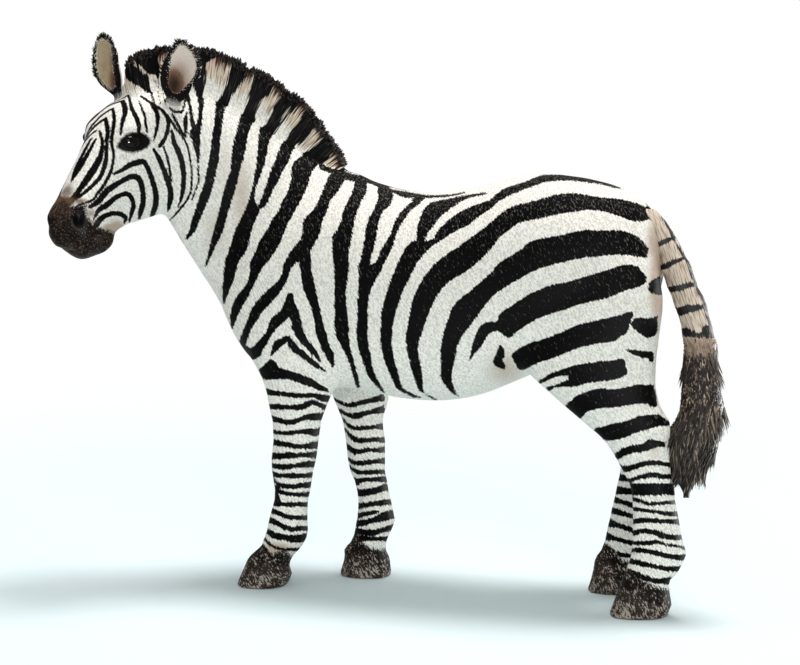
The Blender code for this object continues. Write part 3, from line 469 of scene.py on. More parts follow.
lilacPatches = [(91, 212, 6, 5, 0.9), (95, 221, 5, 3, 0.7)]
nostril = [(79, 219, 7, 9, 1.1), (83, 210, 5, 6, 0.9)]
chinWarm = [(117, 227, 10, 8, 1.3), (109, 226, 6, 4, 1.2)]
hollows = [(79, 220, 5, 7, -0.75), (70, 219, 3.5, 9, 0.35), (88, 215, 3.5, 8, 0.20),
           (134, 142, 15, 9, -0.22), (133, 128, 15, 4, 0.22), (112, 168, 14, 8, -0.20),
           (150, 175, 16, 22, 0.10)]
grooves = {"mouth": [(53, 241, 0.4), (62, 246, 0.5), (78, 249, 0.5), (94, 246, 0.5),
                     (108, 238, 0.4)]}
grooveDepth = 0.12
# pulls on the head's outline: x, y, how far sideways and down, and reach
headPulls = [(53, 236, -4.5, 0, 9), (80, 254, 0, 4.0, 16), (58, 245, -2.5, 1.5, 7),
             (50, 206, -0.5, -2.5, 7)]
# how far the pattern's edges are frayed, and how near the cheek's edge they are the head's
frayed = {"head": 2.3, "trunk": 4.6, "edge": 4}
# airbrushed warm tint on the white of trunk and legs
warmPatches = [(242, 196, 13, 52, 0.62), (216, 232, 16, 34, 0.55), (225, 165, 10, 40, 0.4),
               (505, 368, 24, 20, 0.7), (660, 278, 11, 50, 1.2), (655, 242, 9, 26, 1.0),
               (266, 140, 8, 18, 0.5), (372, 430, 14, 30, 0.25), (655, 450, 10, 12, 0.5),
               (278, 549, 16, 8, 1.1)]

# the mane's bands: level, left edge, right edge
maneDown = {
    "forelock1": [(62, 126, 132), (66, 125, 136.5), (70, 125, 141), (74, 125.5, 145),
                  (78, 127, 148), (81, 130, 149.5), (84, 135, 150), (87, 140, 150.5),
                  (90, 145, 151.5), (95, 148, 152.5), (100, 149.5, 153.5)],
    "forelock2": [(51, 141, 156), (54, 136, 153), (57, 133, 153), (60, 134, 153.5),
                  (63, 137, 154.5), (66, 140.5, 156.5), (69, 144, 158), (72, 147.5, 158),
                  (75, 151, 157.5), (78, 154, 157)],
    "forelock3": [(47, 158, 172), (50, 157, 172), (53, 158, 166)],
    "pollTop": [(48, 198, 222), (54, 198, 221), (57, 198, 219), (59, 198, 213), (62, 198, 208.5)],
    "poll1": [(60, 199, 208), (66, 199, 206.5), (72, 200, 206), (78, 194, 205.5), (84, 193, 205),
              (90, 195, 204.5), (95, 197, 203.5), (100, 198.5, 203), (110, 199.5, 203)],
    "crest1": [(58, 228, 237), (62, 231, 242), (66, 231, 246), (72, 229, 247), (78, 228, 244),
               (84, 226.5, 240), (90, 224, 236), (95, 221.5, 233), (99, 219, 231),
               (101, 215.5, 230.5), (106, 215.5, 229), (112, 216, 227.5), (120, 216, 224.5)],
    "crest2": [(70, 256, 262), (74, 256, 268), (78, 254, 272), (82, 252.5, 275), (86, 251, 274),
               (90, 250.5, 272), (95, 249.5, 268), (98, 248.8, 263), (102, 248, 260.5),
               (110, 244, 257), (120, 240.5, 255), (130, 238, 250)],
    "crest3": [(90, 284, 292), (95, 282, 295), (100, 279, 299), (104, 275, 299), (107, 273, 296),
               (110, 272.5, 293.5), (115, 270, 289), (120, 267.5, 285), (124, 266, 281.5),
               (130, 260, 277), (140, 258.5, 272)],
    "crest4": [(108, 304, 309), (112, 303, 313), (117, 301, 317), (122, 298.5, 320),
               (127, 295, 318), (130, 292.5, 314), (138, 287.5, 306.5), (142, 284, 302.5),
               (146, 281.5, 295.5), (155, 277, 291), (160, 275.5, 288.5)],
    "crest5": [(133, 324, 327), (137, 322, 330), (141, 319.5, 333), (145, 315, 335),
               (148, 312, 337), (151, 305, 334), (153, 301, 332), (157, 299.5, 330),
               (160, 296.5, 328), (166, 293.5, 317.5), (170, 292, 315)],
}
maneLines = {"thin1": [(247, 75, 0.7), (241, 84, 0.7), (236, 92, 0.5)],
             "thin2": [(131, 59, 0.8), (140, 68, 0.8)],
             "thin3": [(139, 67, 0.5), (147, 75, 0.5), (153, 82, 0.4)],
             "thin4": [(156, 78, 0.8), (157.5, 86, 0.7), (159, 95, 0.5)],
             "thin5": [(160, 74, 0.6), (161.5, 84, 0.5), (163, 93, 0.5)]}
# strands that run on from the forelock onto the brow
foreStrands = {"strand1": [(151, 87, 1.5), (152, 95, 1.3), (154.5, 103, 1.0)],
               "strand2": [(157, 84, 0.8), (158.5, 94, 0.7), (161, 104, 0.5)],
               "strand3": [(161.5, 84, 0.6), (163, 94, 0.6), (166, 103, 0.4)]}
palerLines = {"streak": [(291.5, 107, 0.7), (288, 111, 0.7), (284, 116, 0.7), (281, 121, 0.7)]}
maneWarm = [(157, 56, 4, 6, 1.0), (214, 62, 9, 5, 0.8)]
# the crest's line, seen from a middle about which its hair fans out
maneMiddle = (181, 275)
maneTop = [(112, 68), (120, 62), (128, 60), (131, 57), (136, 54), (140, 52), (150, 50), (160, 47),
           (168, 48), (180, 46), (190, 46), (197, 48), (210, 49.5), (216, 51.5), (222, 54),
           (228, 57), (235, 59), (240, 62), (246, 66), (247, 71), (252, 68), (258, 71), (263, 73),
           (270, 77), (276, 82), (280, 84), (283, 88), (288, 93), (292, 93), (296, 96), (300, 99),
           (304, 103), (308, 108), (312, 111), (315, 117), (319, 118), (321, 124), (325, 130),
           (328, 135), (333, 141), (337, 147), (341, 153), (344, 159), (345.5, 165), (352, 172),
           (362, 178)]
# how its points move onto that line, how softly it joins the skin, and its strands
maneFit = {"fade": 34, "most": 7, "jag": 0.8, "jagWaves": (190, 71, 47), "jagSway": 3,
           "slot": 0.01, "join": 3.0 * mm, "rounds": 60, "pull": 0.5, "strands": 200,
           "strandWidth": 5.5, "sway": 2, "swayWave": 0.31, "relief": 0.07 * mm,
           "reliefEnds": (18, 34)}
# how far round a mark its distance is measured, and the height of an outline's slices, in pixels
markReach, sliceHeight = 9.0, 2
weldGap = 0.001 * mm


def smoothed(points, steps=4):
    # a curve through the rows, with the first and last kept
    rows = np.array(points, float)
    slopes = np.gradient(rows, axis=0)
    spots = np.linspace(0, len(rows) - 1, steps * (len(rows) - 1) + 1)
    low = np.minimum(spots.astype(int), len(rows) - 2)
    t = (spots - low)[:, None]
    return ((2 * t**3 - 3 * t**2 + 1) * rows[low] + (t**3 - 2 * t**2 + t) * slopes[low]
            + (3 * t**2 - 2 * t**3) * rows[low + 1] + (t**3 - t**2) * slopes[low + 1])


def lineDistance(spots, line, far=markReach):
    # distance of each spot from a line of varying half width, up to far
    path = smoothed(line)
    result = np.full(len(spots), far)
    reach = far + path[:, 2].max()
    near = np.where(np.all((spots > path[:, :2].min(0) - reach)
                           & (spots < path[:, :2].max(0) + reach), axis=1))[0]
    here = spots[near]
    best = np.full(len(near), far)
    for first, last in zip(path[:-1], path[1:]):
        run = last[:2] - first[:2]
        share = np.clip((here - first[:2]) @ run / max(run @ run, 1e-9), 0, 1)
        gap = np.linalg.norm(here - first[:2] - share[:, None] * run, axis=1)
        best = np.minimum(best, gap - first[2] - share * (last[2] - first[2]))
    result[near] = best
    return result


def bandDistance(spots, pairs):
    # distance of each spot from a band between two opposite edges
    rows = smoothed(pairs)
    return outlineDistance(spots, np.concatenate([rows[:, :2], rows[::-1, 2:]]))


def outlineDistance(spots, outline, far=markReach):
    # signed distance from a closed outline, negative inside
    outline = np.array(outline, float)
    result = np.full(len(spots), far)
    near = np.where(np.all((spots > outline.min(0) - far) & (spots < outline.max(0) + far),
                           axis=1))[0]
    here = spots[near]
    best = np.full(len(near), far)
    inside = np.zeros(len(near), bool)
    for first, last in zip(outline, np.roll(outline, -1, axis=0)):
        run = last - first
        if run @ run < 1e-9:
            continue
        share = np.clip((here - first) @ run / (run @ run), 0, 1)
        best = np.minimum(best, np.linalg.norm(here - first - share[:, None] * run, axis=1))
        crosses = (first[1] > here[:, 1]) != (last[1] > here[:, 1])
        if run[1]:
            where = first[0] + (here[:, 1] - first[1]) * run[0] / run[1]
            inside ^= crosses & (here[:, 0] < where)
    result[near] = np.where(inside, -best, best)
    return result


def downDistance(spots, bands):
    # distance from the nearest of many bands, each with a left and a right edge
    return np.min([bandDistance(spots, [(left, level, right, level)
                                        for level, left, right in band])
                   for band in bands.values()], axis=0)


def acrossDistance(spots, bands):
    # the same for bands with a top and a bottom edge
    return np.min([bandDistance(spots, [(place, top, place, bottom)
                                        for place, top, bottom in band])
                   for band in bands.values()], axis=0)


def linesDistance(spots, lines):
    return np.min([lineDistance(spots, line) for line in lines.values()], axis=0)


def softPatches(spots, patches):
    # how strongly round soft patches cover each spot: x, y, two radii and strength
    result = np.zeros(len(spots))
    for x, y, wide, high, strength in patches:
        away = ((spots[:, 0] - x) / wide) ** 2 + ((spots[:, 1] - y) / high) ** 2
        result = np.maximum(result, strength * np.exp(-away))
    return result


# meshes
def addPiece(name, mesh):
    piece = bpy.data.objects.new(name, mesh)
    bpy.context.collection.objects.link(piece)
    return piece


def newMesh(name, points, faces):
    mesh = bpy.data.meshes.new(name)
    mesh.from_pydata([tuple(point) for point in points], [], faces)
    return mesh


def nodeArrays(names):
    # corners and faces of merged copies of CAD nodes, and which node each face comes from
    points, faces, owners = [], [], []
    for number, name in enumerate(names):
        form = bmesh.new()
        form.from_mesh(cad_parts[name].data)
        bmesh.ops.remove_doubles(form, verts=form.verts, dist=weldGap)
        form.verts.ensure_lookup_table()
        first = len(points)
        points += [tuple(vertex.co) for vertex in form.verts]
        faces += [tuple(first + vertex.index for vertex in face.verts) for face in form.faces]
        owners += [number] * len(form.faces)
        form.free()
    return points, faces, owners


def meshPoints(mesh):
    places = np.zeros(len(mesh.vertices) * 3, np.float32)
    mesh.vertices.foreach_get("co", places)
    return places.reshape(-1, 3).astype(float)


def meshNormals(mesh):
    normals = np.zeros(len(mesh.vertices) * 3, np.float32)
    mesh.vertex_normals.foreach_get("vector", normals)
    return normals.reshape(-1, 3).astype(float)


def meshLinks(mesh):
    # the two points that each edge joins
    links = np.zeros(len(mesh.edges) * 2, int)
    mesh.edges.foreach_get("vertices", links)
    return links.reshape(-1, 2)


def meshCells(mesh):
    # the points around each face
    return [tuple(face.vertices) for face in mesh.polygons]


def movePoints(mesh, places):
    mesh.vertices.foreach_set("co", places.astype(np.float32).ravel())
    mesh.update()


def setAttribute(mesh, name, values):
    layer = mesh.attributes.new(name, "FLOAT", "POINT")
    layer.data.foreach_set("value", np.asarray(values, np.float32))


def slid(places, spots, targets):
    # points moved across the view until they show at their targets
    depth = -((places - np.array(cameraPlace)) @ np.array(backward))
    step = (targets - spots) * (depth / cameraView["focalPixels"])[:, None]
    return (places + np.outer(step[:, 0], np.array(rightward))
            - np.outer(step[:, 1], np.array(upward)))


def fittedOutline(places, outline, fade=20, most=6):
    # points moved sideways until their outline has the left and right edges of a table
    spots = toPicture(places)
    rows = np.array(outline, float)
    band = (spots[:, 1] // sliceHeight).astype(int)
    first = band.min()
    left = np.full(band.max() - first + 1, np.inf)
    right = np.full(len(left), -np.inf)
    np.minimum.at(left, band - first, spots[:, 0])
    np.maximum.at(right, band - first, spots[:, 0])
    known = np.isfinite(left)
    levels = ((np.arange(len(left)) + first + 0.5) * sliceHeight)[known]
    nowLeft = np.interp(spots[:, 1], levels, left[known])
    nowRight = np.interp(spots[:, 1], levels, right[known])
    wantLeft = np.interp(spots[:, 1], rows[:, 0], rows[:, 1])
    wantRight = np.interp(spots[:, 1], rows[:, 0], rows[:, 2])
    share = (spots[:, 0] - nowLeft) / np.maximum(nowRight - nowLeft, 1)
    step = np.clip(wantLeft + share * (wantRight - wantLeft) - spots[:, 0], -most, most)
    targets = spots.copy()
    targets[:, 0] += step * np.clip((spots[:, 1] - rows[0, 0]) / fade, 0, 1)
    return slid(places, spots, targets)


def fanned(spots):
    # how far round the middle each spot lies and how far under the crest's line
    line = np.array(maneTop, float) - maneMiddle
    away = spots - maneMiddle
    turn = np.arctan2(away[:, 0], -away[:, 1])
    crest = np.interp(turn, np.arctan2(line[:, 0], -line[:, 1]), np.linalg.norm(line, axis=1))
    return turn, crest - np.linalg.norm(away, axis=1)


def fittedCrest(places):
    # the mane's points moved along its hair until its edge runs on the crest's line
    spots = toPicture(places)
    turn, under = fanned(spots)
    slot = ((turn - turn.min()) / maneFit["slot"]).astype(int)
    highest = np.full(slot.max() + 1, np.inf)
    np.minimum.at(highest, slot, under)
    known = np.isfinite(highest)
    top = np.interp(slot, np.where(known)[0], highest[known])
    fine, coarse, swell = maneFit["jagWaves"]
    jag = maneFit["jag"] * np.sin(turn * fine + maneFit["jagSway"] * np.sin(turn * coarse))
    jag *= np.cos(turn * swell)
    step = np.clip(top + jag, -maneFit["most"], maneFit["most"])
    step *= np.clip(1 - (under - top) / maneFit["fade"], 0, 1)
    outward = np.stack([np.sin(turn), -np.cos(turn)], 1)
    return slid(places, spots, spots + outward * step[:, None])


def softJoined(places, links, mine):
    # points smoothed near where those that are mine meet the others
    meet = KDTree(len(links))
    for index in np.unique(links[mine[links].sum(1) == 1]):
        meet.insert(places[index], int(index))
    meet.balance()
    reach = maneFit["join"]
    weight = np.array([max(0, 1 - meet.find(place)[2] / reach) for place in places])
    near = links[(weight[links] > 0).any(1)]
    both = np.concatenate([near, near[:, ::-1]])
    used, first = np.unique(both[:, 0], return_inverse=True)
    count = np.bincount(first)
    result = places.copy()
    for _ in range(maneFit["rounds"]):
        around = np.stack([np.bincount(first, result[both[:, 1], axis]) for axis in range(3)], 1)
        step = around / count[:, None] - result[used]
        result[used] += maneFit["pull"] * weight[used, None] * step
    return result


def refinedSkin(name, names, fineness):
    # one fine even skin over CAD nodes, with the gaps between them closed
    points, faces = nodeArrays(names)[:2]
    rough = addPiece(name + "Rough", newMesh(name, points, faces))
    for step, strength in (("out", fineness["allowance"]), ("in", -fineness["allowance"])):
        if step == "in":
            merge = rough.modifiers.new("merge", "REMESH")
            merge.mode = "VOXEL"
            merge.voxel_size = fineness["voxel"]
        move = rough.modifiers.new(step, "DISPLACE")
        move.mid_level = 0
        move.strength = strength
    smooth = rough.modifiers.new("smooth", "SMOOTH")
    smooth.factor = fineness["softness"]
    smooth.iterations = fineness["smoothing"]
    graph = bpy.context.evaluated_depsgraph_get()
    skin = bpy.data.meshes.new_from_object(rough.evaluated_get(graph))
    bpy.data.objects.remove(rough, do_unlink=True)
    places, cells, edges = meshPoints(skin), meshCells(skin), meshLinks(skin)
    # the biggest connected part is the outside; the rest are hollows between the nodes
    label = np.arange(len(places))
    while True:
        low = np.minimum(label[edges[:, 0]], label[edges[:, 1]])
        before = label.copy()
        np.minimum.at(label, edges[:, 0], low)
        np.minimum.at(label, edges[:, 1], low)
        label = label[label]
        if np.array_equal(label, before):
            break
    biggest = np.bincount(label).argmax()
    kept = label == biggest
    number = np.cumsum(kept) - 1
    cells = [tuple(int(number[index]) for index in cell) for cell in cells if kept[cell[0]]]
    whole = newMesh(name, places[kept], cells)
    bpy.data.meshes.remove(skin)
    print(name, "skin:", len(cells), "faces")
    return whole


skinNames = ["torso", "neck_and_head", "front_left_leg", "front_right_leg", "hind_left_leg",
             "hind_right_leg", "mane"]
skinFineness = {"allowance": 0.25 * mm, "voxel": 0.30 * mm, "smoothing": 14, "softness": 0.5}
skin = refinedSkin("skin", skinNames, skinFineness)

# where each point of the skin takes its pattern from: the near half as it is, the far half
# mirrored, with the neck's and the head's own middle planes
neckTurn = {"startFromTrunk": 23.559 * mm, "reach": 24 * mm, "turn": 8.5 * mm,
            "shares": [(0, 0), (0.19, 0), (0.38, 0.09), (0.57, 0.28), (0.73, 0.52), (0.87, 0.75),
                       (0.97, 0.98)]}


def trunkMirrored(places):
    shares = np.array(neckTurn["shares"])
    forward = places[:, 0] - trunkMiddle.x - neckTurn["startFromTrunk"]
    middle = trunkMiddle.y + neckTurn["turn"] * np.interp(
        forward / neckTurn["reach"], shares[:, 0], shares[:, 1])
    result = places.copy()
    result[:, 1] = middle + np.abs(places[:, 1] - middle)
    return result


def headMirrored(places):
    aside = (places - np.array(poll)) @ np.array(leftAxis)
    return places + np.outer(np.abs(aside) - aside, np.array(leftAxis))


def headShares(places):
    # how far down the nose and out of the brow each place lies
    away = places - np.array(poll)
    return (away @ np.array(noseAxis) / headSet["length"],
            away @ np.array(browAxis) / headSet["depth"])


def closestNode(places, names):
    points, faces, owners = nodeArrays(names)
    tree = BVHTree.FromPolygons(points, faces)
    return np.array([owners[tree.find_nearest(place)[2]] for place in places])


places = meshPoints(skin)
owner = closestNode(places, skinNames)
skinCells = meshCells(skin)
cellPlaces = np.array([places[list(cell)].mean(0) for cell in skinCells])
cellOwner = closestNode(cellPlaces, skinNames)
for number, name in enumerate(skinNames):
    if name in legOutlines:
        places[owner == number] = fittedOutline(places[owner == number], legOutlines[name])
maneNumber = skinNames.index("mane")
onMane = owner == maneNumber
onNeck = owner == skinNames.index("neck_and_head")
places = softJoined(places, meshLinks(skin), onMane)
places[onMane] = fittedCrest(places[onMane])
movePoints(skin, places)

# the head ends where the cheek's edge runs in the picture
cheekEdge = np.array([(20, 185), (95, 140), (101, 150), (115, 168), (136, 183), (155, 190),
                      (178, 192), (198, 188), (219, 170), (230, 165)], float)
headFrom = {"along": -0.25, "out": -1.1}
along, out = headShares(places)
spotHead = toPicture(headMirrored(places))
onHead = (onNeck & (along > headFrom["along"]) & (out > headFrom["out"])
          & (spotHead[:, 0] < np.interp(spotHead[:, 1], cheekEdge[:, 0], cheekEdge[:, 1])))
relief = np.zeros(len(places))
for x, y, wide, high, depth in hollows:
    relief += softPatches(spotHead, [(x, y, wide, high, 1)]) * depth
relief -= grooveDepth * np.exp(-np.maximum(linesDistance(spotHead, grooves), 0) ** 2)
places += meshNormals(skin) * (relief * onHead * mm)[:, None]
spots = toPicture(places)
targets = spots.copy()
for x, y, aside, down, reach in headPulls:
    pull = softPatches(spots, [(x, y, reach, reach, 1)]) * onHead
    targets += pull[:, None] * (aside, down)
places = slid(places, spots, targets)
turn, deep = fanned(toPicture(trunkMirrored(places)))
strand = turn * maneFit["strands"]
relief = maneFit["relief"] * np.sin(strand * 2 * math.pi / maneFit["strandWidth"]
                                    + maneFit["sway"] * np.sin(strand * maneFit["swayWave"]))
relief *= onMane * np.interp(deep, maneFit["reliefEnds"], (1, 0))
places += meshNormals(skin) * relief[:, None]
movePoints(skin, places)
skinNormals = meshNormals(skin)

# marks lie a little off where they were read: sideways and down
markShift = {"trunk": (-0.4, 0.5), "head": (-0.3, 1.2)}
spotTrunk = toPicture(trunkMirrored(places)) - markShift["trunk"]
spotHead = toPicture(headMirrored(places)) - markShift["head"]
spotHere = toPicture(places)
stripe = np.minimum(downDistance(spotTrunk, trunkDown), acrossDistance(spotTrunk, trunkAcross))
stripe = np.minimum(stripe, linesDistance(spotTrunk, trunkLines))
for band in trunkPairs.values():
    stripe = np.minimum(stripe, bandDistance(spotTrunk, band))
face = linesDistance(spotHead, faceLines)
edge = lineDistance(spotHead, faceLines["cheekEdge"])
behind = (places - np.array(poll)) @ np.array(headForward)
behind += hiddenNeck["wave"] * np.sin(places[:, 2] / hiddenNeck["waveLength"])
rounds = np.min([np.abs(behind - place) - half for place, half in hiddenNeck["bands"]], axis=0)
edgeHere = np.interp(spotHere[:, 1], cheekEdge[:, 0], cheekEdge[:, 1]) - hiddenNeck["behindEdge"]
farSide = trunkMirrored(places)[:, 1] > places[:, 1] + hiddenNeck["sideGap"]
hidden = onNeck & (spotTrunk[:, 0] < hiddenNeck["until"])
hidden &= (spotHere[:, 0] < edgeHere) | farSide
pixelSize = cameraView["distance"] / cameraView["focalPixels"]
stripe = np.where(hidden, rounds / pixelSize, stripe)
stripe = np.where(onHead, face, np.where(onNeck, np.minimum(stripe, edge), stripe))
strands = linesDistance(spotHere, foreStrands)
stripe = np.where(onNeck & ~farSide, np.minimum(stripe, strands), stripe)
stripe -= ringGrow["pixels"] * np.clip((ringGrow["from"] - places[:, 2]) / ringGrow["over"], 0, 1)
# the far legs' rings as they show in the picture, up to a height
farRings = {"front_right_leg": (farForeAcross, 35 * mm), "hind_right_leg": (farHindAcross, 25 * mm)}
for name, (rings, height) in farRings.items():
    mine = (owner == skinNames.index(name)) & (places[:, 2] < height)
    stripe = np.where(mine, acrossDistance(spotHere, rings) - ringGrow["pixels"], stripe)
band = np.minimum(downDistance(spotTrunk, maneDown), linesDistance(spotTrunk, maneLines))
band = np.maximum(band, -linesDistance(spotTrunk, palerLines))
stripe = np.where(onMane, band, stripe)
warm = softPatches(spotTrunk, warmPatches)
warm = np.where(onHead, softPatches(spotHead, chinWarm), warm)
warm = np.where(onMane, softPatches(spotTrunk, maneWarm), warm)

lid = np.minimum(outlineDistance(spotHead, lidOutline), outlineDistance(spotHead, farLidOutline))
hoofSet = {"none": -40.0, "height": 15 * mm, "sole": 4 * mm}
hoof = np.full(len(places), hoofSet["none"])
for name, border in hoofBorders.items():
    border = np.array(border, float)
    below = spotHere[:, 1] - np.interp(spotHere[:, 0], border[:, 0], border[:, 1])
    mine = (owner == skinNames.index(name)) & (places[:, 2] < hoofSet["height"])
    hoof = np.where(mine, below, hoof)
muzzleReach = 30.0
muzzle = outlineDistance(spotHead, muzzleOutline, muzzleReach)
skinAttributes = {
    "stripe": stripe,
    "muzzle": np.where(onHead, muzzle, muzzleReach),
    "lid": np.where(onHead, lid, markReach),
    "tan": np.where(onHead, softPatches(spotHead, noseTan), 0),
    "brown": np.where(onHead, softPatches(spotHead, muzzleBrowns), 0),
    "lilac": np.where(onHead, softPatches(spotHead, lilacPatches), 0),
    "nostril": np.where(onHead, softPatches(spotHead, nostril), 0),
    "hoof": hoof,
    "sole": np.clip(1 - places[:, 2] / hoofSet["sole"], 0, 1),
    "warm": warm,
    # how far the trunk's skin faces up, which sets the painted sheen on its blacks
    "upper": np.where(onHead, 0, np.clip(skinNormals[:, 2], 0, 1)),
    "fray": np.where(onHead | (edge < frayed["edge"]), frayed["head"], frayed["trunk"]),
    "strand": strand,
    "deep": deep,
}
print("skin marked")


capSet = {"step": 1.0 * mm, "long": 3}


def capSlots(rim):
    # which of a row of centres closes each point of an opening; a round one has a single centre
    away = rim - rim.mean(0)
    sizes, axes = np.linalg.svd(away, full_matrices=False)[1:]
    if sizes[0] < capSet["long"] * sizes[1]:
        return np.zeros(len(rim), int)
    along = away @ axes[0]
    return ((along - along.min()) / capSet["step"]).astype(int)


def skinPiece(number, name):
    # the part of the skin that belongs to one node, closed where it leaves the rest
    mine = [skinCells[index] for index in np.where(cellOwner == number)[0]]
    used = sorted({index for cell in mine for index in cell})
    place = {index: order for order, index in enumerate(used)}
    cells = [tuple(place[index] for index in cell) for cell in mine]
    directed = {(cell[step], cell[(step + 1) % len(cell)]) for cell in cells
                for step in range(len(cell))}
    border = sorted(edge for edge in directed if edge[::-1] not in directed)
    group = {index: index for edge in border for index in edge}

    def root(index):
        while group[index] != index:
            group[index] = group[group[index]]
            index = group[index]
        return index

    for first, last in border:
        group[root(first)] = root(last)
    points = [tuple(places[index]) for index in used]
    normals = [tuple(skinNormals[index]) for index in used]
    loops = {}
    for edge in border:
        loops.setdefault(root(edge[0]), []).append(edge)
    skinCount = len(cells)
    for edges in loops.values():
        rim = np.array([points[index] for edge in edges for index in edge])
        slots = capSlots(rim)
        centre = {}
        for slot in np.unique(slots):
            centre[slot] = len(points)
            points.append(tuple(rim[slots == slot].mean(0)))
        for (first, last), (one, other) in zip(edges, slots.reshape(-1, 2)):
            far = (centre[one],) if one == other else (centre[one], centre[other])
            cells.append((last, first, *far))
    mesh = newMesh(name, points, cells)
    mesh.shade_smooth()
    corner = []
    for face in mesh.polygons:
        flat = face.index >= skinCount
        for index in face.vertices:
            corner.append(tuple(face.normal) if flat else normals[index])
    mesh.normals_split_custom_set(corner)
    for key, values in skinAttributes.items():
        setAttribute(mesh, key, np.append(values[used], np.zeros(len(points) - len(used))))
    return addPiece(name + "Skin", mesh)


# materials
class Wire:
    # one socket of a material's tree; sums on it add Math nodes
    def __init__(self, tree, socket=None):
        self.tree, self.socket = tree, socket

    def node(self, kind, settings=(), sockets=(), output=0):
        made = self.tree.nodes.new("ShaderNode" + kind)
        for name, value in dict(settings).items():
            if name == "stops":
                ramp = made.color_ramp
                while len(ramp.elements) < len(value):
                    ramp.elements.new(1)
                for stop, (place, color) in zip(ramp.elements, value):
                    stop.position, stop.color = place, (*color, 1)
            else:
                setattr(made, name, value)
        for name, value in dict(sockets).items():
            if isinstance(value, Wire):
                self.tree.links.new(value.socket, made.inputs[name])
            else:
                made.inputs[name].default_value = value
        return Wire(self.tree, made.outputs[output])

    def sum(self, operation, first, second):
        return self.node("Math", {"operation": operation}, {0: first, 1: second})

    def __add__(self, other):
        return self.sum("ADD", self, other)

    def __radd__(self, other):
        return self.sum("ADD", other, self)

    def __sub__(self, other):
        return self.sum("SUBTRACT", self, other)

    def __rsub__(self, other):
        return self.sum("SUBTRACT", other, self)

    def __mul__(self, other):
        return self.sum("MULTIPLY", self, other)

    def __rmul__(self, other):
        return self.sum("MULTIPLY", other, self)


def startMaterial(name, roughness, specular):
    material = bpy.data.materials.new(name)
    material.use_nodes = True
    shader = material.node_tree.nodes["Principled BSDF"]
    shader.inputs["Roughness"].default_value = roughness
    shader.inputs["Specular IOR Level"].default_value = specular
    return material, Wire(material.node_tree), shader


def attributeWire(wire, name):
    return wire.node("Attribute", {"attribute_name": name}, output=2)


def stepped(value, low, high):
    return value.node("MapRange", {"interpolation_type": "SMOOTHSTEP"},
                      {"Value": value, "From Min": low, "From Max": high})


def edged(value, noise, edge):
    # a mark's step, with its edge broken up by noise
    broken, low, high = edge
    return stepped(value + (noise - 0.5) * broken, low, high)


def mixed(share, first, second):
    first = first if isinstance(first, Wire) else (*first, 1)
    second = second if isinstance(second, Wire) else (*second, 1)
    return share.node("Mix", {"data_type": "RGBA"}, {0: share, 6: first, 7: second}, 2)


def finished(wire, shader, color, height, relief):
    strength, distance = relief
    bump = wire.node("Bump", {}, {"Height": height, "Strength": strength, "Distance": distance})
    wire.tree.links.new(color.socket, shader.inputs["Base Color"])
    wire.tree.links.new(bump.socket, shader.inputs["Normal"])


noiseDetail = {"grain": 2.0, "strand": 3.0}


def noiseWire(wire, scale, turn=0.0):
    # noise in the object's own space, stretched to a grain of the given size
    grain = wire.node("Mapping", {"vector_type": "TEXTURE"}, {
        "Vector": wire.node("TexCoord", output=3), "Rotation": (0, math.radians(turn), 0),
        "Scale": scale})
    return wire.node("TexNoise", {}, {
        "Vector": grain, "Scale": 1.0, "Detail": noiseDetail["grain"]})


def strandWire(wire, down, settings):
    # noise drawn out along the hair, across its strands and down from its roots
    run = wire.node("CombineXYZ", {}, {0: attributeWire(wire, "strand"),
                                       1: down * settings["strandLength"]})
    return wire.node("TexNoise", {"noise_dimensions": "2D"}, {
        "Vector": run, "Scale": settings["strandScale"], "Detail": noiseDetail["strand"]})


# where a stripe's edge runs, and the skin's marks: noise's share in each, its start and its full
stripeEdge = (-0.5, 0.5)
skinEdges = {
    "warm": (0.8, 0.15, 1.0), "brushAndSheen": (2.0, 0.26, 0.55), "tan": (0.6, 0.15, 1.1),
    "lid": (3.0, -1.0, 2.2), "muzzle": (7.0, -2.5, 2.5), "brown": (1.6, 0.1, 0.7),
    "hoof": (16.0, -1.5, 1.5), "wall": (50.0, 8, 24),
}
skinPaint = {
    "white": (0.93, 0.93, 0.87), "whiteShade": (0.65, 0.65, 0.60), "warm": (0.50, 0.40, 0.315),
    "black": (0.0015, 0.0015, 0.0015), "grey": (0.085, 0.085, 0.078),
    "muzzle": (0.009, 0.006, 0.005), "muzzleBrown": (0.036, 0.021, 0.015),
    "muzzleSpeck": (0.13, 0.10, 0.078), "lilac": (0.26, 0.22, 0.21),
    "noseTan": (0.13, 0.078, 0.045), "hoof": (0.008, 0.006, 0.005), "hoofWall": (0.034, 0.025, 0.020),
    "hoofSpeck": (0.42, 0.37, 0.32),
    "ribs": (0.20 * mm, 0.40 * mm, 0.80 * mm), "ribLean": 28,
    "speck": (0.28 * mm, 0.28 * mm, 0.28 * mm), "rings": (0.9 * mm, 0.9 * mm, 0.20 * mm),
    "blots": (1.3 * mm, 1.3 * mm, 1.3 * mm), "whiteGrain": (0.40, 0.57), "upper": 0.28,
    "lilacOnBlack": 0.2, "specks": (0.55, 0.70), "brownSpecks": 0.04, "nostril": (0.25, 0.6),
    "scratches": (0.53, 0.60), "soleScratches": 0.05,
    "scratchShares": {"specks": 0.15, "ribs": 0.45, "rings": 0.15, "blots": 0.25},
    "roughness": 0.6, "muzzleRoughness": 0.4, "specular": 0.03, "relief": (0.8, 0.11 * mm),
}


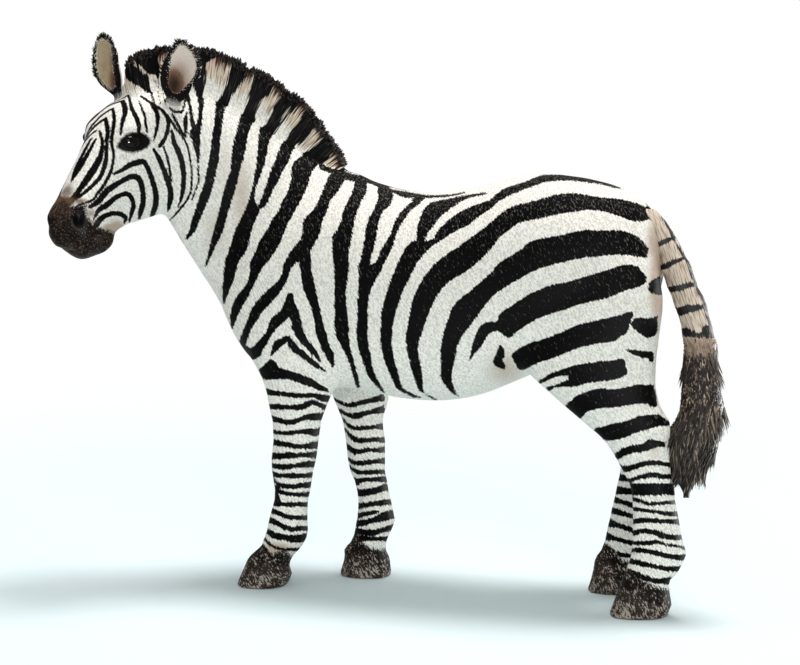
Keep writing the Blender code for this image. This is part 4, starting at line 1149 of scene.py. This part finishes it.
def skinMaterial():
    paint, edges, shares = skinPaint, skinEdges, skinPaint["scratchShares"]
    material, wire, shader = startMaterial("paintedSkin", paint["roughness"], paint["specular"])
    ribs = noiseWire(wire, paint["ribs"], paint["ribLean"])
    specks = noiseWire(wire, paint["speck"])
    rings = noiseWire(wire, paint["rings"])
    blots = noiseWire(wire, paint["blots"])
    fray = (ribs - 0.5) * attributeWire(wire, "fray")
    black = 1 - stepped(attributeWire(wire, "stripe") + fray, *stripeEdge)
    warm = edged(attributeWire(wire, "warm"), ribs, edges["warm"])
    grain = ribs * 0.5 + specks * 0.5
    white = mixed(stepped(grain, *paint["whiteGrain"]), paint["whiteShade"], paint["white"])
    white = mixed(warm, white, paint["warm"])
    # grey flecks on the blacks: partly dry-brush paint, partly painted sheen that grows where the
    # skin faces up
    brushAndSheen = edged(attributeWire(wire, "upper") * paint["upper"], ribs, edges["brushAndSheen"])
    color = mixed(black, white, mixed(brushAndSheen, paint["black"], paint["grey"]))
    tan = edged(attributeWire(wire, "tan"), specks, edges["tan"])
    color = mixed(tan, color, paint["noseTan"])
    lilac = attributeWire(wire, "lilac") * (1 - black * (1 - paint["lilacOnBlack"]))
    color = mixed(lilac, color, paint["lilac"])
    lid = 1 - edged(attributeWire(wire, "lid"), specks, edges["lid"])
    color = mixed(lid, color, paint["black"])
    muzzle = 1 - edged(attributeWire(wire, "muzzle"), specks, edges["muzzle"])
    brown = edged(attributeWire(wire, "brown"), blots, edges["brown"])
    skinTone = mixed(brown, paint["muzzle"], paint["muzzleBrown"])
    speckled = stepped(specks + brown * paint["brownSpecks"], *paint["specks"])
    skinTone = mixed(speckled, skinTone, paint["muzzleSpeck"])
    nostril = stepped(attributeWire(wire, "nostril"), *paint["nostril"])
    skinTone = mixed(nostril, skinTone, paint["black"])
    color = mixed(muzzle, color, skinTone)
    below = attributeWire(wire, "hoof")
    hoof = edged(below, ribs, edges["hoof"])
    wall = mixed(edged(below, blots, edges["wall"]), paint["hoof"], paint["hoofWall"])
    scratch = (specks * shares["specks"] + ribs * shares["ribs"] + rings * shares["rings"]
               + blots * shares["blots"])
    scratch = stepped(scratch + attributeWire(wire, "sole") * paint["soleScratches"],
                      *paint["scratches"])
    color = mixed(hoof, color, mixed(scratch, wall, paint["hoofSpeck"]))
    roughness = muzzle * (paint["muzzleRoughness"] - paint["roughness"]) + paint["roughness"]
    wire.tree.links.new(roughness.socket, shader.inputs["Roughness"])
    finished(wire, shader, color, grain + (specks - grain) * muzzle, paint["relief"])
    return material


def dressed(piece, material, node=None):
    if not piece.data.materials:
        piece.data.materials.append(material)
    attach(piece, "root")
    if node:
        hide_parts(node)
    print(piece.name, len(piece.data.polygons), "faces")
    return piece


paintedSkin = skinMaterial()
for number, name in enumerate(skinNames[:-1]):
    dressed(skinPiece(number, name), paintedSkin, name)

# eyes
eyeSet = {"mark": (133.5, 142), "long": 1.75 * mm, "high": 1.15 * mm, "deep": 1.1 * mm,
          "sunk": 0.55 * mm, "roughness": 0.03, "specular": 0.15, "color": (0.002, 0.001, 0.001),
          "around": 40, "rings": 24}
skinTree = BVHTree.FromPolygons([tuple(place) for place in places], skinCells)


def eyeMesh(name, mirror):
    # a glossy almond in the head's side, seen at its mark
    spot, normal = skinTree.ray_cast(cameraPlace, sightLine(eyeSet["mark"]))[:2]
    out = (normal + leftAxis).normalized()
    high = (upward - out * upward.dot(out)).normalized()
    long = high.cross(out)
    form = bmesh.new()
    bmesh.ops.create_uvsphere(form, u_segments=eyeSet["around"], v_segments=eyeSet["rings"],
                              radius=1)
    for vertex in form.verts:
        vertex.co = (spot - out * eyeSet["sunk"] + long * vertex.co.x * eyeSet["long"]
                     + high * vertex.co.y * eyeSet["high"] + out * vertex.co.z * eyeSet["deep"])
        if mirror:
            vertex.co -= leftAxis * 2 * (vertex.co - poll).dot(leftAxis)
    bmesh.ops.recalc_face_normals(form, faces=form.faces)
    mesh = bpy.data.meshes.new(name)
    form.to_mesh(mesh)
    form.free()
    mesh.shade_smooth()
    return mesh


glossyEye, wire, shader = startMaterial("glossyEye", eyeSet["roughness"], eyeSet["specular"])
shader.inputs["Base Color"].default_value = (*eyeSet["color"], 1)
for name, mirror in (("leftEye", False), ("rightEye", True)):
    eye = dressed(addPiece(name, eyeMesh(name, mirror)), glossyEye)
    if not mirror:
        eyeTree = BVHTree.FromPolygons([vertex.co for vertex in eye.data.vertices],
                                       meshCells(eye.data))


# hair locks: small cones that a tree of geometry nodes sets on guide points
lockInputs = {"Geometry": "Geometry", "Radius": "Float", "Length": "Float", "Spread": "Float",
              "Seed": "Int", "Material": "Material"}
coneSides, coneSteps = 5, 3


def lockTree():
    tree = bpy.data.node_groups.new("hairLocks", "GeometryNodeTree")
    for name, kind in lockInputs.items():
        tree.interface.new_socket(name, in_out="INPUT", socket_type="NodeSocket" + kind)
    tree.interface.new_socket("Geometry", in_out="OUTPUT", socket_type="NodeSocketGeometry")

    def step(kind, sockets=(), **settings):
        made = tree.nodes.new(kind)
        for name, value in settings.items():
            setattr(made, name, value)
        for name, value in dict(sockets).items():
            if isinstance(value, bpy.types.NodeSocket):
                tree.links.new(value, made.inputs[name])
            else:
                made.inputs[name].default_value = value
        return made

    given = step("NodeGroupInput").outputs
    cone = step("GeometryNodeMeshCone", {
        "Vertices": coneSides, "Side Segments": coneSteps, "Radius Top": 0.0,
        "Radius Bottom": given["Radius"], "Depth": given["Length"]})
    lean = step("GeometryNodeInputNamedAttribute", {"Name": "lean"}, data_type="FLOAT_VECTOR")
    turn = step("FunctionNodeAlignRotationToVector", {"Vector": lean.outputs[0]}, axis="Z")
    size = step("GeometryNodeInputNamedAttribute", {"Name": "size"}, data_type="FLOAT")
    low = step("ShaderNodeMath", {0: 1.0, 1: given["Spread"]}, operation="SUBTRACT")
    high = step("ShaderNodeMath", {0: 1.0, 1: given["Spread"]}, operation="ADD")
    chance = step("FunctionNodeRandomValue", {2: low.outputs[0], 3: high.outputs[0],
                                              "Seed": given["Seed"]}, data_type="FLOAT")
    scale = step("ShaderNodeMath", {0: size.outputs[0], 1: chance.outputs[1]},
                 operation="MULTIPLY")
    placed = step("GeometryNodeInstanceOnPoints", {
        "Points": given["Geometry"], "Instance": cone.outputs[0], "Rotation": turn.outputs[0],
        "Scale": scale.outputs[0]})
    real = step("GeometryNodeRealizeInstances", {"Geometry": placed.outputs[0]})
    painted = step("GeometryNodeSetMaterial", {"Geometry": real.outputs[0],
                                               "Material": given["Material"]})
    tree.links.new(painted.outputs[0], tree.nodes.new("NodeGroupOutput").inputs[0])
    return tree


hairLocks = lockTree()


def lockMesh(name, roots, leans, sizes, look, material):
    # a plain mesh of locks, and which lock each of its points belongs to
    guide = newMesh(name + "Guide", roots, [])
    layer = guide.attributes.new("lean", "FLOAT_VECTOR", "POINT")
    layer.data.foreach_set("vector", np.asarray(leans, np.float32).ravel())
    setAttribute(guide, "size", sizes)
    piece = addPiece(name + "Guide", guide)
    grown = piece.modifiers.new("locks", "NODES")
    grown.node_group = hairLocks
    values = {"Radius": look["radius"], "Length": look["length"], "Spread": look["spread"],
              "Seed": look["seed"], "Material": material}
    for item in hairLocks.interface.items_tree:
        if item.in_out == "INPUT" and item.name in values:
            grown[item.identifier] = values[item.name]
    graph = bpy.context.evaluated_depsgraph_get()
    mesh = bpy.data.meshes.new_from_object(piece.evaluated_get(graph))
    bpy.data.objects.remove(piece, do_unlink=True)
    mesh.name = name
    mesh.shade_smooth()
    return mesh, np.arange(len(mesh.vertices)) // (len(mesh.vertices) // len(roots))


hairShine = {"roughness": 0.6, "specular": 0.15}


def hairMaterial(name, dark, light):
    material, wire, shader = startMaterial(name, hairShine["roughness"], hairShine["specular"])
    color = mixed(attributeWire(wire, "shade"), dark, light)
    wire.tree.links.new(color.socket, shader.inputs["Base Color"])
    return material


# ears
earSet = {"length": 10.4 * mm, "width": 7.0 * mm, "wall": 0.9 * mm, "cup": 1.7 * mm,
          "points": 44, "lean": 0.13, "rootDrop": 0.03, "bendFrom": 0.02, "bend": 18 * mm}
earPlaces = {
    "left_ear": {"side": 1, "facing": 104, "aside": 1.17, "splay": 0.32},
    "right_ear": {"side": -1, "facing": 64, "aside": 1.33, "splay": 0.30},
}
earOutlines = {
    "left_ear": [(41, 178.5, 184), (43, 175, 187), (46, 172.5, 191), (52, 169.5, 196),
                 (57, 166, 198), (63, 163, 200), (70, 161.2, 200.7), (78, 160, 198.5),
                 (82, 160.5, 193.5), (86, 161, 190.5), (90, 163, 187), (95, 165, 184.5),
                 (100, 168, 182)],
    "right_ear": [(34.5, 102, 106), (37, 98.5, 110), (41, 97, 112.5), (47, 94.5, 114.5),
                  (54, 93, 117.5), (62, 92.5, 119), (70, 93, 120), (76, 95, 120.5),
                  (81, 97.5, 120.5), (85, 100.5, 121), (89, 105, 121), (96, 114, 121)],
}
# the pale inside of each ear, then its dark patches with two radii and strength
earInsides = {
    "left_ear": [(180, 45), (176.4, 49), (172, 55), (170.7, 62), (169.3, 72), (167.5, 82),
                 (169.3, 89), (173.5, 94), (179, 93.5), (185, 87), (190.7, 81), (195, 74),
                 (196.4, 66), (195, 59), (190.7, 52), (185, 46)],
    "right_ear": [(98.5, 41), (103, 39.5), (107, 41), (110.7, 46), (112, 56), (113, 68),
                  (115, 78), (116, 87), (112, 90), (106, 86), (100.7, 79), (97, 68), (96.5, 54)],
}
earDeeps = {
    "left_ear": [(174, 85, 11, 18, 1.4), (179, 94, 13, 9, 1.0), (179, 77, 13, 21, 0.6)],
    "right_ear": [(115, 80, 6, 17, 1.1), (112, 62, 3.5, 14, 0.6), (104, 66, 3, 9, 0.35)],
}
earPaint = {
    "left_ear": {"inside": (0.90, 0.80, 0.70), "deep": (0.022, 0.011, 0.007)},
    "right_ear": {"inside": (0.50, 0.40, 0.25), "deep": (0.045, 0.024, 0.014)},
    "rim": (0.005, 0.004, 0.004), "fleck": (0.70, 0.65, 0.56), "back": (0.62, 0.62, 0.58),
    "brown": (0.24, 0.135, 0.09), "shade": 0.75, "streaks": (0.35, 0.6),
    "grain": (0.22 * mm, 0.22 * mm, 0.22 * mm), "hair": (0.14 * mm, 0.14 * mm, 0.7 * mm),
    "brownEdge": (0.05, 0.80), "deepEdge": (0.45, 1.50), "deepHair": 0.4,
    "flecks": (0.44, 0.54), "flecksOutward": 0.05, "flecksDeep": 0.15, "rimEdge": (4, -1.0, 0.2),
    "backHair": 0.3, "backEdge": (0.42, 0.50), "rootEdge": (-0.10, 0.0), "frontEdge": (-0.1, 0.1),
    "roughness": 0.8, "specular": 0.03, "relief": (0.6, 0.08 * mm),
}
earLook = {"radius": 0.13 * mm, "length": 0.42 * mm, "spread": 0.3, "seed": 3, "count": 150,
           "fleckShare": 0.25, "ruffle": 0.2, "from": 0.3, "edge": 0.97}
# up the ear: width, cup and wall as shares
earShares = [(-0.22, 0.30, 0.05, 1.9), (-0.10, 0.46, 0.20, 2.0), (0.0, 0.66, 0.45, 1.8),
             (0.12, 0.84, 0.72, 1.5), (0.26, 0.96, 0.92, 1.2), (0.42, 1.00, 1.00, 1.0),
             (0.58, 0.98, 0.95, 1.0), (0.72, 0.89, 0.80, 1.0), (0.84, 0.72, 0.60, 1.0),
             (0.93, 0.48, 0.36, 0.95), (0.985, 0.22, 0.14, 0.9), (1.0, 0.05, 0.02, 0.6)]


def earMesh(name):
    one = earPlaces[name]
    side, facing = one["side"], math.radians(one["facing"])
    root = headPoint(0, -earSet["rootDrop"], side * one["aside"])
    axis = (Vector((0, 0, 1)) + leftAxis * side * one["splay"]
            + headForward * earSet["lean"]).normalized()
    face = Vector((math.cos(facing), math.sin(facing), 0))
    face = (face - axis * face.dot(axis)).normalized()
    across = axis.cross(face)
    rows = smoothed(earShares)
    count, half = earSet["points"], earSet["points"] // 2
    points, faces, marks = [], [], []
    for along, width, cup, wall in rows:
        inward = leftAxis * side * max(0, earSet["bendFrom"] - along) * earSet["bend"]
        for step in range(count):
            front = 1 if step < half else -1
            turn = math.pi * ((step % half) + 0.5) / half
            t = -front * math.cos(turn)
            thick = front * wall * earSet["wall"] / 2 * math.sin(turn)
            points.append(root - inward + axis * along * earSet["length"]
                          + across * t * width * earSet["width"] / 2
                          + face * (thick - cup * earSet["cup"] * (1 - t * t)))
            marks.append((t, along, front))
    for row in range(len(rows) - 1):
        for step in range(count):
            low, high, after = row * count, (row + 1) * count, (step + 1) % count
            faces.append((low + step, low + after, high + after, high + step))
    faces += [tuple(reversed(range(count))),
              tuple(range((len(rows) - 1) * count, len(rows) * count))]
    places = fittedOutline(np.array(points), earOutlines[name], fade=1)
    mesh = newMesh(name, places, faces)
    form = bmesh.new()
    form.from_mesh(mesh)
    bmesh.ops.recalc_face_normals(form, faces=form.faces)
    form.to_mesh(mesh)
    form.free()
    mesh.shade_smooth()
    spots = toPicture(places)
    setAttribute(mesh, "inside", outlineDistance(spots, earInsides[name]))
    setAttribute(mesh, "deep", softPatches(spots, earDeeps[name]))
    setAttribute(mesh, "front", [mark[2] for mark in marks])
    setAttribute(mesh, "up", [mark[1] for mark in marks])
    return mesh, np.array(marks), axis, across


def earMaterial(name):
    paint, own = earPaint, earPaint[name]
    material, wire, shader = startMaterial(name + "Paint", paint["roughness"], paint["specular"])
    grain = noiseWire(wire, paint["grain"])
    hair = noiseWire(wire, paint["hair"])
    shade = [paint["shade"] * part for part in own["inside"]]
    inside = mixed(stepped(hair, *paint["streaks"]), shade, own["inside"])
    deep = attributeWire(wire, "deep") + (hair - 0.5) * paint["deepHair"]
    inside = mixed(stepped(deep, *paint["brownEdge"]), inside, paint["brown"])
    inside = mixed(stepped(deep, *paint["deepEdge"]), inside, own["deep"])
    outside = attributeWire(wire, "inside")
    flecks = stepped(grain - outside * paint["flecksOutward"] - deep * paint["flecksDeep"],
                     *paint["flecks"])
    rim = mixed(flecks, paint["rim"], paint["fleck"])
    color = mixed(edged(outside, grain, paint["rimEdge"]), inside, rim)
    up = attributeWire(wire, "up") + (hair - 0.5) * paint["backHair"]
    back = mixed(stepped(up, *paint["backEdge"]), paint["back"], paint["rim"])
    color = mixed(stepped(up, *paint["rootEdge"]), paint["back"], color)
    color = mixed(stepped(attributeWire(wire, "front"), *paint["frontEdge"]), back, color)
    finished(wire, shader, color, hair, paint["relief"])
    return material


earHair = hairMaterial("earHair", earPaint["rim"], earPaint["fleck"])
for name in earPlaces:
    mesh, marks, axis, across = earMesh(name)
    ear = dressed(addPiece(name + "Leaf", mesh), earMaterial(name), name)
    chance = np.random.default_rng(earLook["seed"])
    onEdge = np.abs(marks[:, 0]) > earLook["edge"]
    edge = np.where(onEdge & (marks[:, 1] > earLook["from"]))[0]
    edge = chance.choice(edge, earLook["count"])
    leans = (np.outer(marks[edge, 0], across) + np.array(axis)
             + chance.normal(0, earLook["ruffle"], (len(edge), 3)))
    hair, lock = lockMesh(name + "Hair", meshPoints(mesh)[edge], leans, np.ones(len(edge)),
                          earLook, earHair)
    shade = chance.random(len(edge)) < earLook["fleckShare"]
    setAttribute(hair, "shade", shade[lock])
    dressed(addPiece(name + "Hair", hair), earHair)


# mane
manePaint = {
    "black": (0.0015, 0.0015, 0.0015), "grey": (0.045, 0.040, 0.035), "brown": (0.061, 0.025, 0.015),
    "tip": (0.026, 0.013, 0.009), "cream": (0.70, 0.63, 0.51), "tan": (0.30, 0.21, 0.14),
    "warm": (0.62, 0.40, 0.36), "strandLength": 0.055, "strandScale": 0.9,
    "creamStrands": (0.38, 0.56), "greyStrands": (0.60, 0.74), "stripeStrands": 6,
    "skinEdge": (30, 20, 36), "brownEdge": (34, 7, 17), "tipEdge": (22, 2, 8),
    "roughness": 0.6, "relief": (0.7, 0.10 * mm),
}
maneLook = {"radius": 0.24 * mm, "length": 0.50 * mm, "spread": 0.3, "seed": 5, "count": 800,
            "reach": 8, "ruffle": 0.22, "shadePower": 2}


def maneMaterial():
    paint = manePaint
    material, wire, shader = startMaterial("paintedMane", paint["roughness"],
                                           skinPaint["specular"])
    deep = attributeWire(wire, "deep")
    strands = strandWire(wire, deep, paint)
    ribs = noiseWire(wire, skinPaint["ribs"], skinPaint["ribLean"])
    grain = ribs * 0.5 + noiseWire(wire, skinPaint["speck"]) * 0.5
    low = mixed(stepped(grain, *skinPaint["whiteGrain"]), skinPaint["whiteShade"],
                skinPaint["white"])
    pale = mixed(stepped(strands, *paint["creamStrands"]), paint["tan"], paint["cream"])
    pale = mixed(edged(deep, strands, paint["skinEdge"]), pale, low)
    pale = mixed(attributeWire(wire, "warm"), pale, paint["warm"])
    pale = mixed(edged(deep, strands, paint["brownEdge"]), paint["brown"], pale)
    dark = mixed(stepped(strands, *paint["greyStrands"]), paint["black"], paint["grey"])
    stripe = edged(attributeWire(wire, "stripe"), strands, (paint["stripeStrands"], *stripeEdge))
    color = mixed(stripe, dark, pale)
    color = mixed(edged(deep, strands, paint["tipEdge"]), dark, color)
    finished(wire, shader, color, strands, paint["relief"])
    return material


dressed(skinPiece(maneNumber, "mane"), maneMaterial(), "mane")
chance = np.random.default_rng(maneLook["seed"])
roots = np.where((owner == maneNumber) & (deep < maneLook["reach"]))[0]
roots = chance.choice(roots, maneLook["count"])
leans = (np.outer(np.sin(turn[roots]), np.array(rightward))
         + np.outer(np.cos(turn[roots]), np.array(upward))
         + chance.normal(0, maneLook["ruffle"], (len(roots), 3)))
maneHair = hairMaterial("maneHair", manePaint["black"], manePaint["tip"])
hair, lock = lockMesh("maneHair", places[roots], leans, np.ones(len(roots)), maneLook, maneHair)
shade = chance.random(len(roots)) ** maneLook["shadePower"]
setAttribute(hair, "shade", shade[lock])
dressed(addPiece("maneHair", hair), maneHair)

# tail
tailFineness = {"allowance": 0.2 * mm, "voxel": 0.25 * mm, "smoothing": 4, "softness": 0.5}
tailOutline = [
    (250, 651, 681), (256, 656, 684), (262, 658, 690), (268, 659, 692.5), (275, 663, 694),
    (280, 665, 696), (287, 667, 698), (295, 671, 703), (305, 674, 707), (315, 678, 709),
    (325, 681, 712), (335, 682, 714), (345, 684, 717), (355, 684, 716.5), (365, 683.5, 717),
    (380, 684, 718), (390, 682, 720), (400, 681, 723), (410, 679.5, 724.5), (420, 675, 723),
    (430, 668, 720.5), (440, 666, 719), (450, 667, 717), (455, 668, 715), (460, 670, 711),
    (470, 672, 706), (477, 674, 701), (485, 679, 695), (493, 683, 690)]
tailAcross = {
    "band1": [(648, 245, 253), (655, 243, 250), (664, 239, 245), (673, 236, 240),
              (680, 233, 237)],
    "band2": [(655, 265, 272), (662, 264, 271), (672, 260, 266), (684, 256, 260),
              (690, 254, 258)],
    "band3": [(664, 288, 294), (672, 286, 293), (684, 283.5, 290), (696, 281, 286),
              (702, 280, 284)],
    "band4": [(670, 309, 318), (678, 307, 317), (690, 304.5, 313), (704, 304, 309)],
    "band5": [(675, 328, 336), (685, 328, 337), (694, 331, 338), (700, 333, 338),
              (705, 325, 338), (714, 325, 338)],
}
tailLines = {"edge": [(657, 207, 0.9), (667, 225, 1.2), (677, 245, 1.5), (688, 262, 1.5),
                      (693, 278, 1.7), (701, 295, 1.7), (707, 312, 1.7), (711, 330, 1.7)]}
# how squarely the dock faces the camera where its bands turn into level rings
tailRings = (0.05, 0.30)
# the run of its middle: level and place
tailMiddle = [(208, 652), (240, 664), (270, 674), (300, 684), (330, 695), (360, 700), (400, 704),
              (440, 695), (495, 686)]
tailPaint = {
    "dock": (0.70, 0.61, 0.50), "dockShade": (0.36, 0.28, 0.22), "black": (0.004, 0.003, 0.003),
    "fur": (0.26, 0.18, 0.115), "tuft": (0.008, 0.005, 0.004), "tuftLight": (0.43, 0.35, 0.26),
    "strandLength": 0.12, "strandScale": 0.7, "farStrands": 200, "dockStrands": (0.34, 0.56),
    "furStrands": (0.40, 0.62), "tuftStrands": (0.56, 0.70), "stripeStrands": 6,
    "furEdge": (16, 336, 342), "tuftEdge": (24, 348, 360), "roughness": 0.55, "specular": 0.15,
    "relief": (0.8, 0.15 * mm),
}
tailLook = {"radius": 0.15 * mm, "length": 2.6 * mm, "spread": 0.3, "seed": 7, "count": 1900,
            "from": 338, "to": 480, "dark": 356, "fades": 12, "ruffle": 0.08, "outward": 0.05,
            "wave": 0.36, "end": 495, "shortens": 25, "shortest": 0.35}
# its hair hangs in clumps, which vary down and across it
tailClumps = {"down": 9, "across": 0.35, "sway": 2, "swayWave": 0.23, "pale": 0.6, "paler": 0.5,
              "shadePower": 3}


def tailMaterial():
    paint = tailPaint
    material, wire, shader = startMaterial("paintedTail", paint["roughness"], paint["specular"])
    down = attributeWire(wire, "down")
    strands = strandWire(wire, down, paint)
    dock = mixed(stepped(strands, *paint["dockStrands"]), paint["dockShade"], paint["dock"])
    stripe = edged(attributeWire(wire, "stripe"), strands, (paint["stripeStrands"], *stripeEdge))
    dock = mixed(stripe, paint["black"], dock)
    fur = mixed(stepped(strands, *paint["furStrands"]), paint["dockShade"], paint["fur"])
    tuft = mixed(stepped(strands, *paint["tuftStrands"]), paint["tuft"], paint["tuftLight"])
    color = mixed(edged(down, strands, paint["furEdge"]), dock, fur)
    color = mixed(edged(down, strands, paint["tuftEdge"]), color, tuft)
    finished(wire, shader, color, strands, paint["relief"])
    return material


tail = refinedSkin("tail", ["tail"], tailFineness)
movePoints(tail, fittedOutline(meshPoints(tail), tailOutline))
tailPlaces = meshPoints(tail)
tailNormals = meshNormals(tail)
tailSpots = toPicture(tailPlaces)
middle = np.array(tailMiddle, float)
aside = tailSpots[:, 0] - np.interp(tailSpots[:, 1], middle[:, 0], middle[:, 1])
facing = tailNormals @ np.array(backward)
ringShare = 1 - np.clip((facing - tailRings[0]) / (tailRings[1] - tailRings[0]), 0, 1)
bandSpots = tailSpots - np.outer(ringShare * aside, (1, 0))
setAttribute(tail, "stripe", np.minimum(acrossDistance(bandSpots, tailAcross),
                                        linesDistance(bandSpots, tailLines)))
setAttribute(tail, "strand", aside + tailPaint["farStrands"] * (tailNormals[:, 1] < 0))
setAttribute(tail, "down", tailSpots[:, 1])
tail.shade_smooth()
dressed(addPiece("tailBrush", tail), tailMaterial(), "tail")

chance = np.random.default_rng(tailLook["seed"])
roots = np.where((tailSpots[:, 1] > tailLook["from"]) & (tailSpots[:, 1] < tailLook["to"]))[0]
roots = chance.choice(roots, tailLook["count"])
level = tailSpots[roots, 1]
slope = np.interp(level, middle[:, 0], np.gradient(middle[:, 1], middle[:, 0]))
clump = np.sin(level / tailClumps["down"] + aside[roots] * tailClumps["across"]
               + tailClumps["sway"] * np.sin(aside[roots] * tailClumps["swayWave"]))
slope += tailLook["wave"] * clump
leans = (np.outer(slope, np.array(rightward)) - np.array(upward)
         + tailNormals[roots] * tailLook["outward"]
         + chance.normal(0, tailLook["ruffle"], (len(roots), 3)))
tailHair = hairMaterial("tailHair", tailPaint["tuft"], tailPaint["tuftLight"])
sizes = np.clip((tailLook["end"] - level) / tailLook["shortens"], tailLook["shortest"], 1)
hair, lock = lockMesh("tailHair", tailPlaces[roots], leans, sizes, tailLook, tailHair)
pale = np.clip((tailLook["dark"] - level) / tailLook["fades"], 0, 1)
shade = chance.random(len(roots)) ** tailClumps["shadePower"]
shade *= tailClumps["pale"] + tailClumps["paler"] * clump
shade = np.maximum(shade, pale * chance.random(len(roots)))
setAttribute(hair, "shade", shade[lock])
dressed(addPiece("tailHair", hair), tailHair)

# floor and light
floorSet = {"half": 3.0, "color": (0.765, 0.895, 0.925), "clear": (0.065, 0.22),
            "roughness": 0.9, "specular": 0.1}
half = floorSet["half"]
floorMesh = newMesh("floor", [(-half, -half, 0), (half, -half, 0), (half, half, 0),
                              (-half, half, 0)], [(0, 1, 2, 3)])
material, wire, shader = startMaterial("paleFloor", floorSet["roughness"], floorSet["specular"])
shader.inputs["Base Color"].default_value = (*floorSet["color"], 1)
reach = wire.node("VectorMath", {"operation": "LENGTH"}, {0: wire.node("TexCoord", output=3)}, 1)
clear = 1 - stepped(reach, *floorSet["clear"])
wire.tree.links.new(clear.socket, shader.inputs["Alpha"])
floorMesh.materials.append(material)
addPiece("floor", floorMesh)

lightSet = {
    "sky": 0.45, "skyColor": (1.0, 0.99, 0.965),
    "lamps": {"key": {"place": (-0.08, -0.12, 0.79), "size": 0.25, "power": 4.8,
                      "color": (1.0, 0.94, 0.93)},
              "fill": {"place": (-0.36, 0.77, 0.42), "size": 0.50, "power": 2.6,
                       "color": (1.0, 0.99, 0.96)}},
    "glints": {"marks": [(128.5, 142.5), (138.5, 142.5)], "away": 0.5, "size": 0.12, "power": 7},
}
world = bpy.data.worlds.new("studio")
world.use_nodes = True
bpy.context.scene.world = world
background = world.node_tree.nodes["Background"]
wire = Wire(world.node_tree)
seen = wire.node("LightPath")
sky = mixed(seen, [lightSet["sky"] * part for part in lightSet["skyColor"]], (1, 1, 1))
wire.tree.links.new(sky.socket, background.inputs["Color"])


def addLamp(name, lamp, place, aim):
    light = bpy.data.lights.new(name, "AREA")
    light.size = lamp["size"]
    light.energy = lamp["power"]
    light.color = lamp.get("color", (1, 1, 1))
    holder = bpy.data.objects.new(name, light)
    bpy.context.collection.objects.link(holder)
    holder.location = place
    holder.rotation_euler = (aim - Vector(place)).to_track_quat("-Z", "Y").to_euler()
    return holder


for name, lamp in lightSet["lamps"].items():
    addLamp(name, lamp, lamp["place"], trunkMiddle)
# two lamps for gloss alone, where the eye mirrors them at their marks
for mark in lightSet["glints"]["marks"]:
    sight = sightLine(mark)
    spot, normal = eyeTree.ray_cast(cameraPlace, sight)[:2]
    place = spot + sight.reflect(normal) * lightSet["glints"]["away"]
    addLamp("glint", lightSet["glints"], place, spot).visible_diffuse = False
bpy.context.scene.view_settings.view_transform = "Standard"
print("floor and light set")
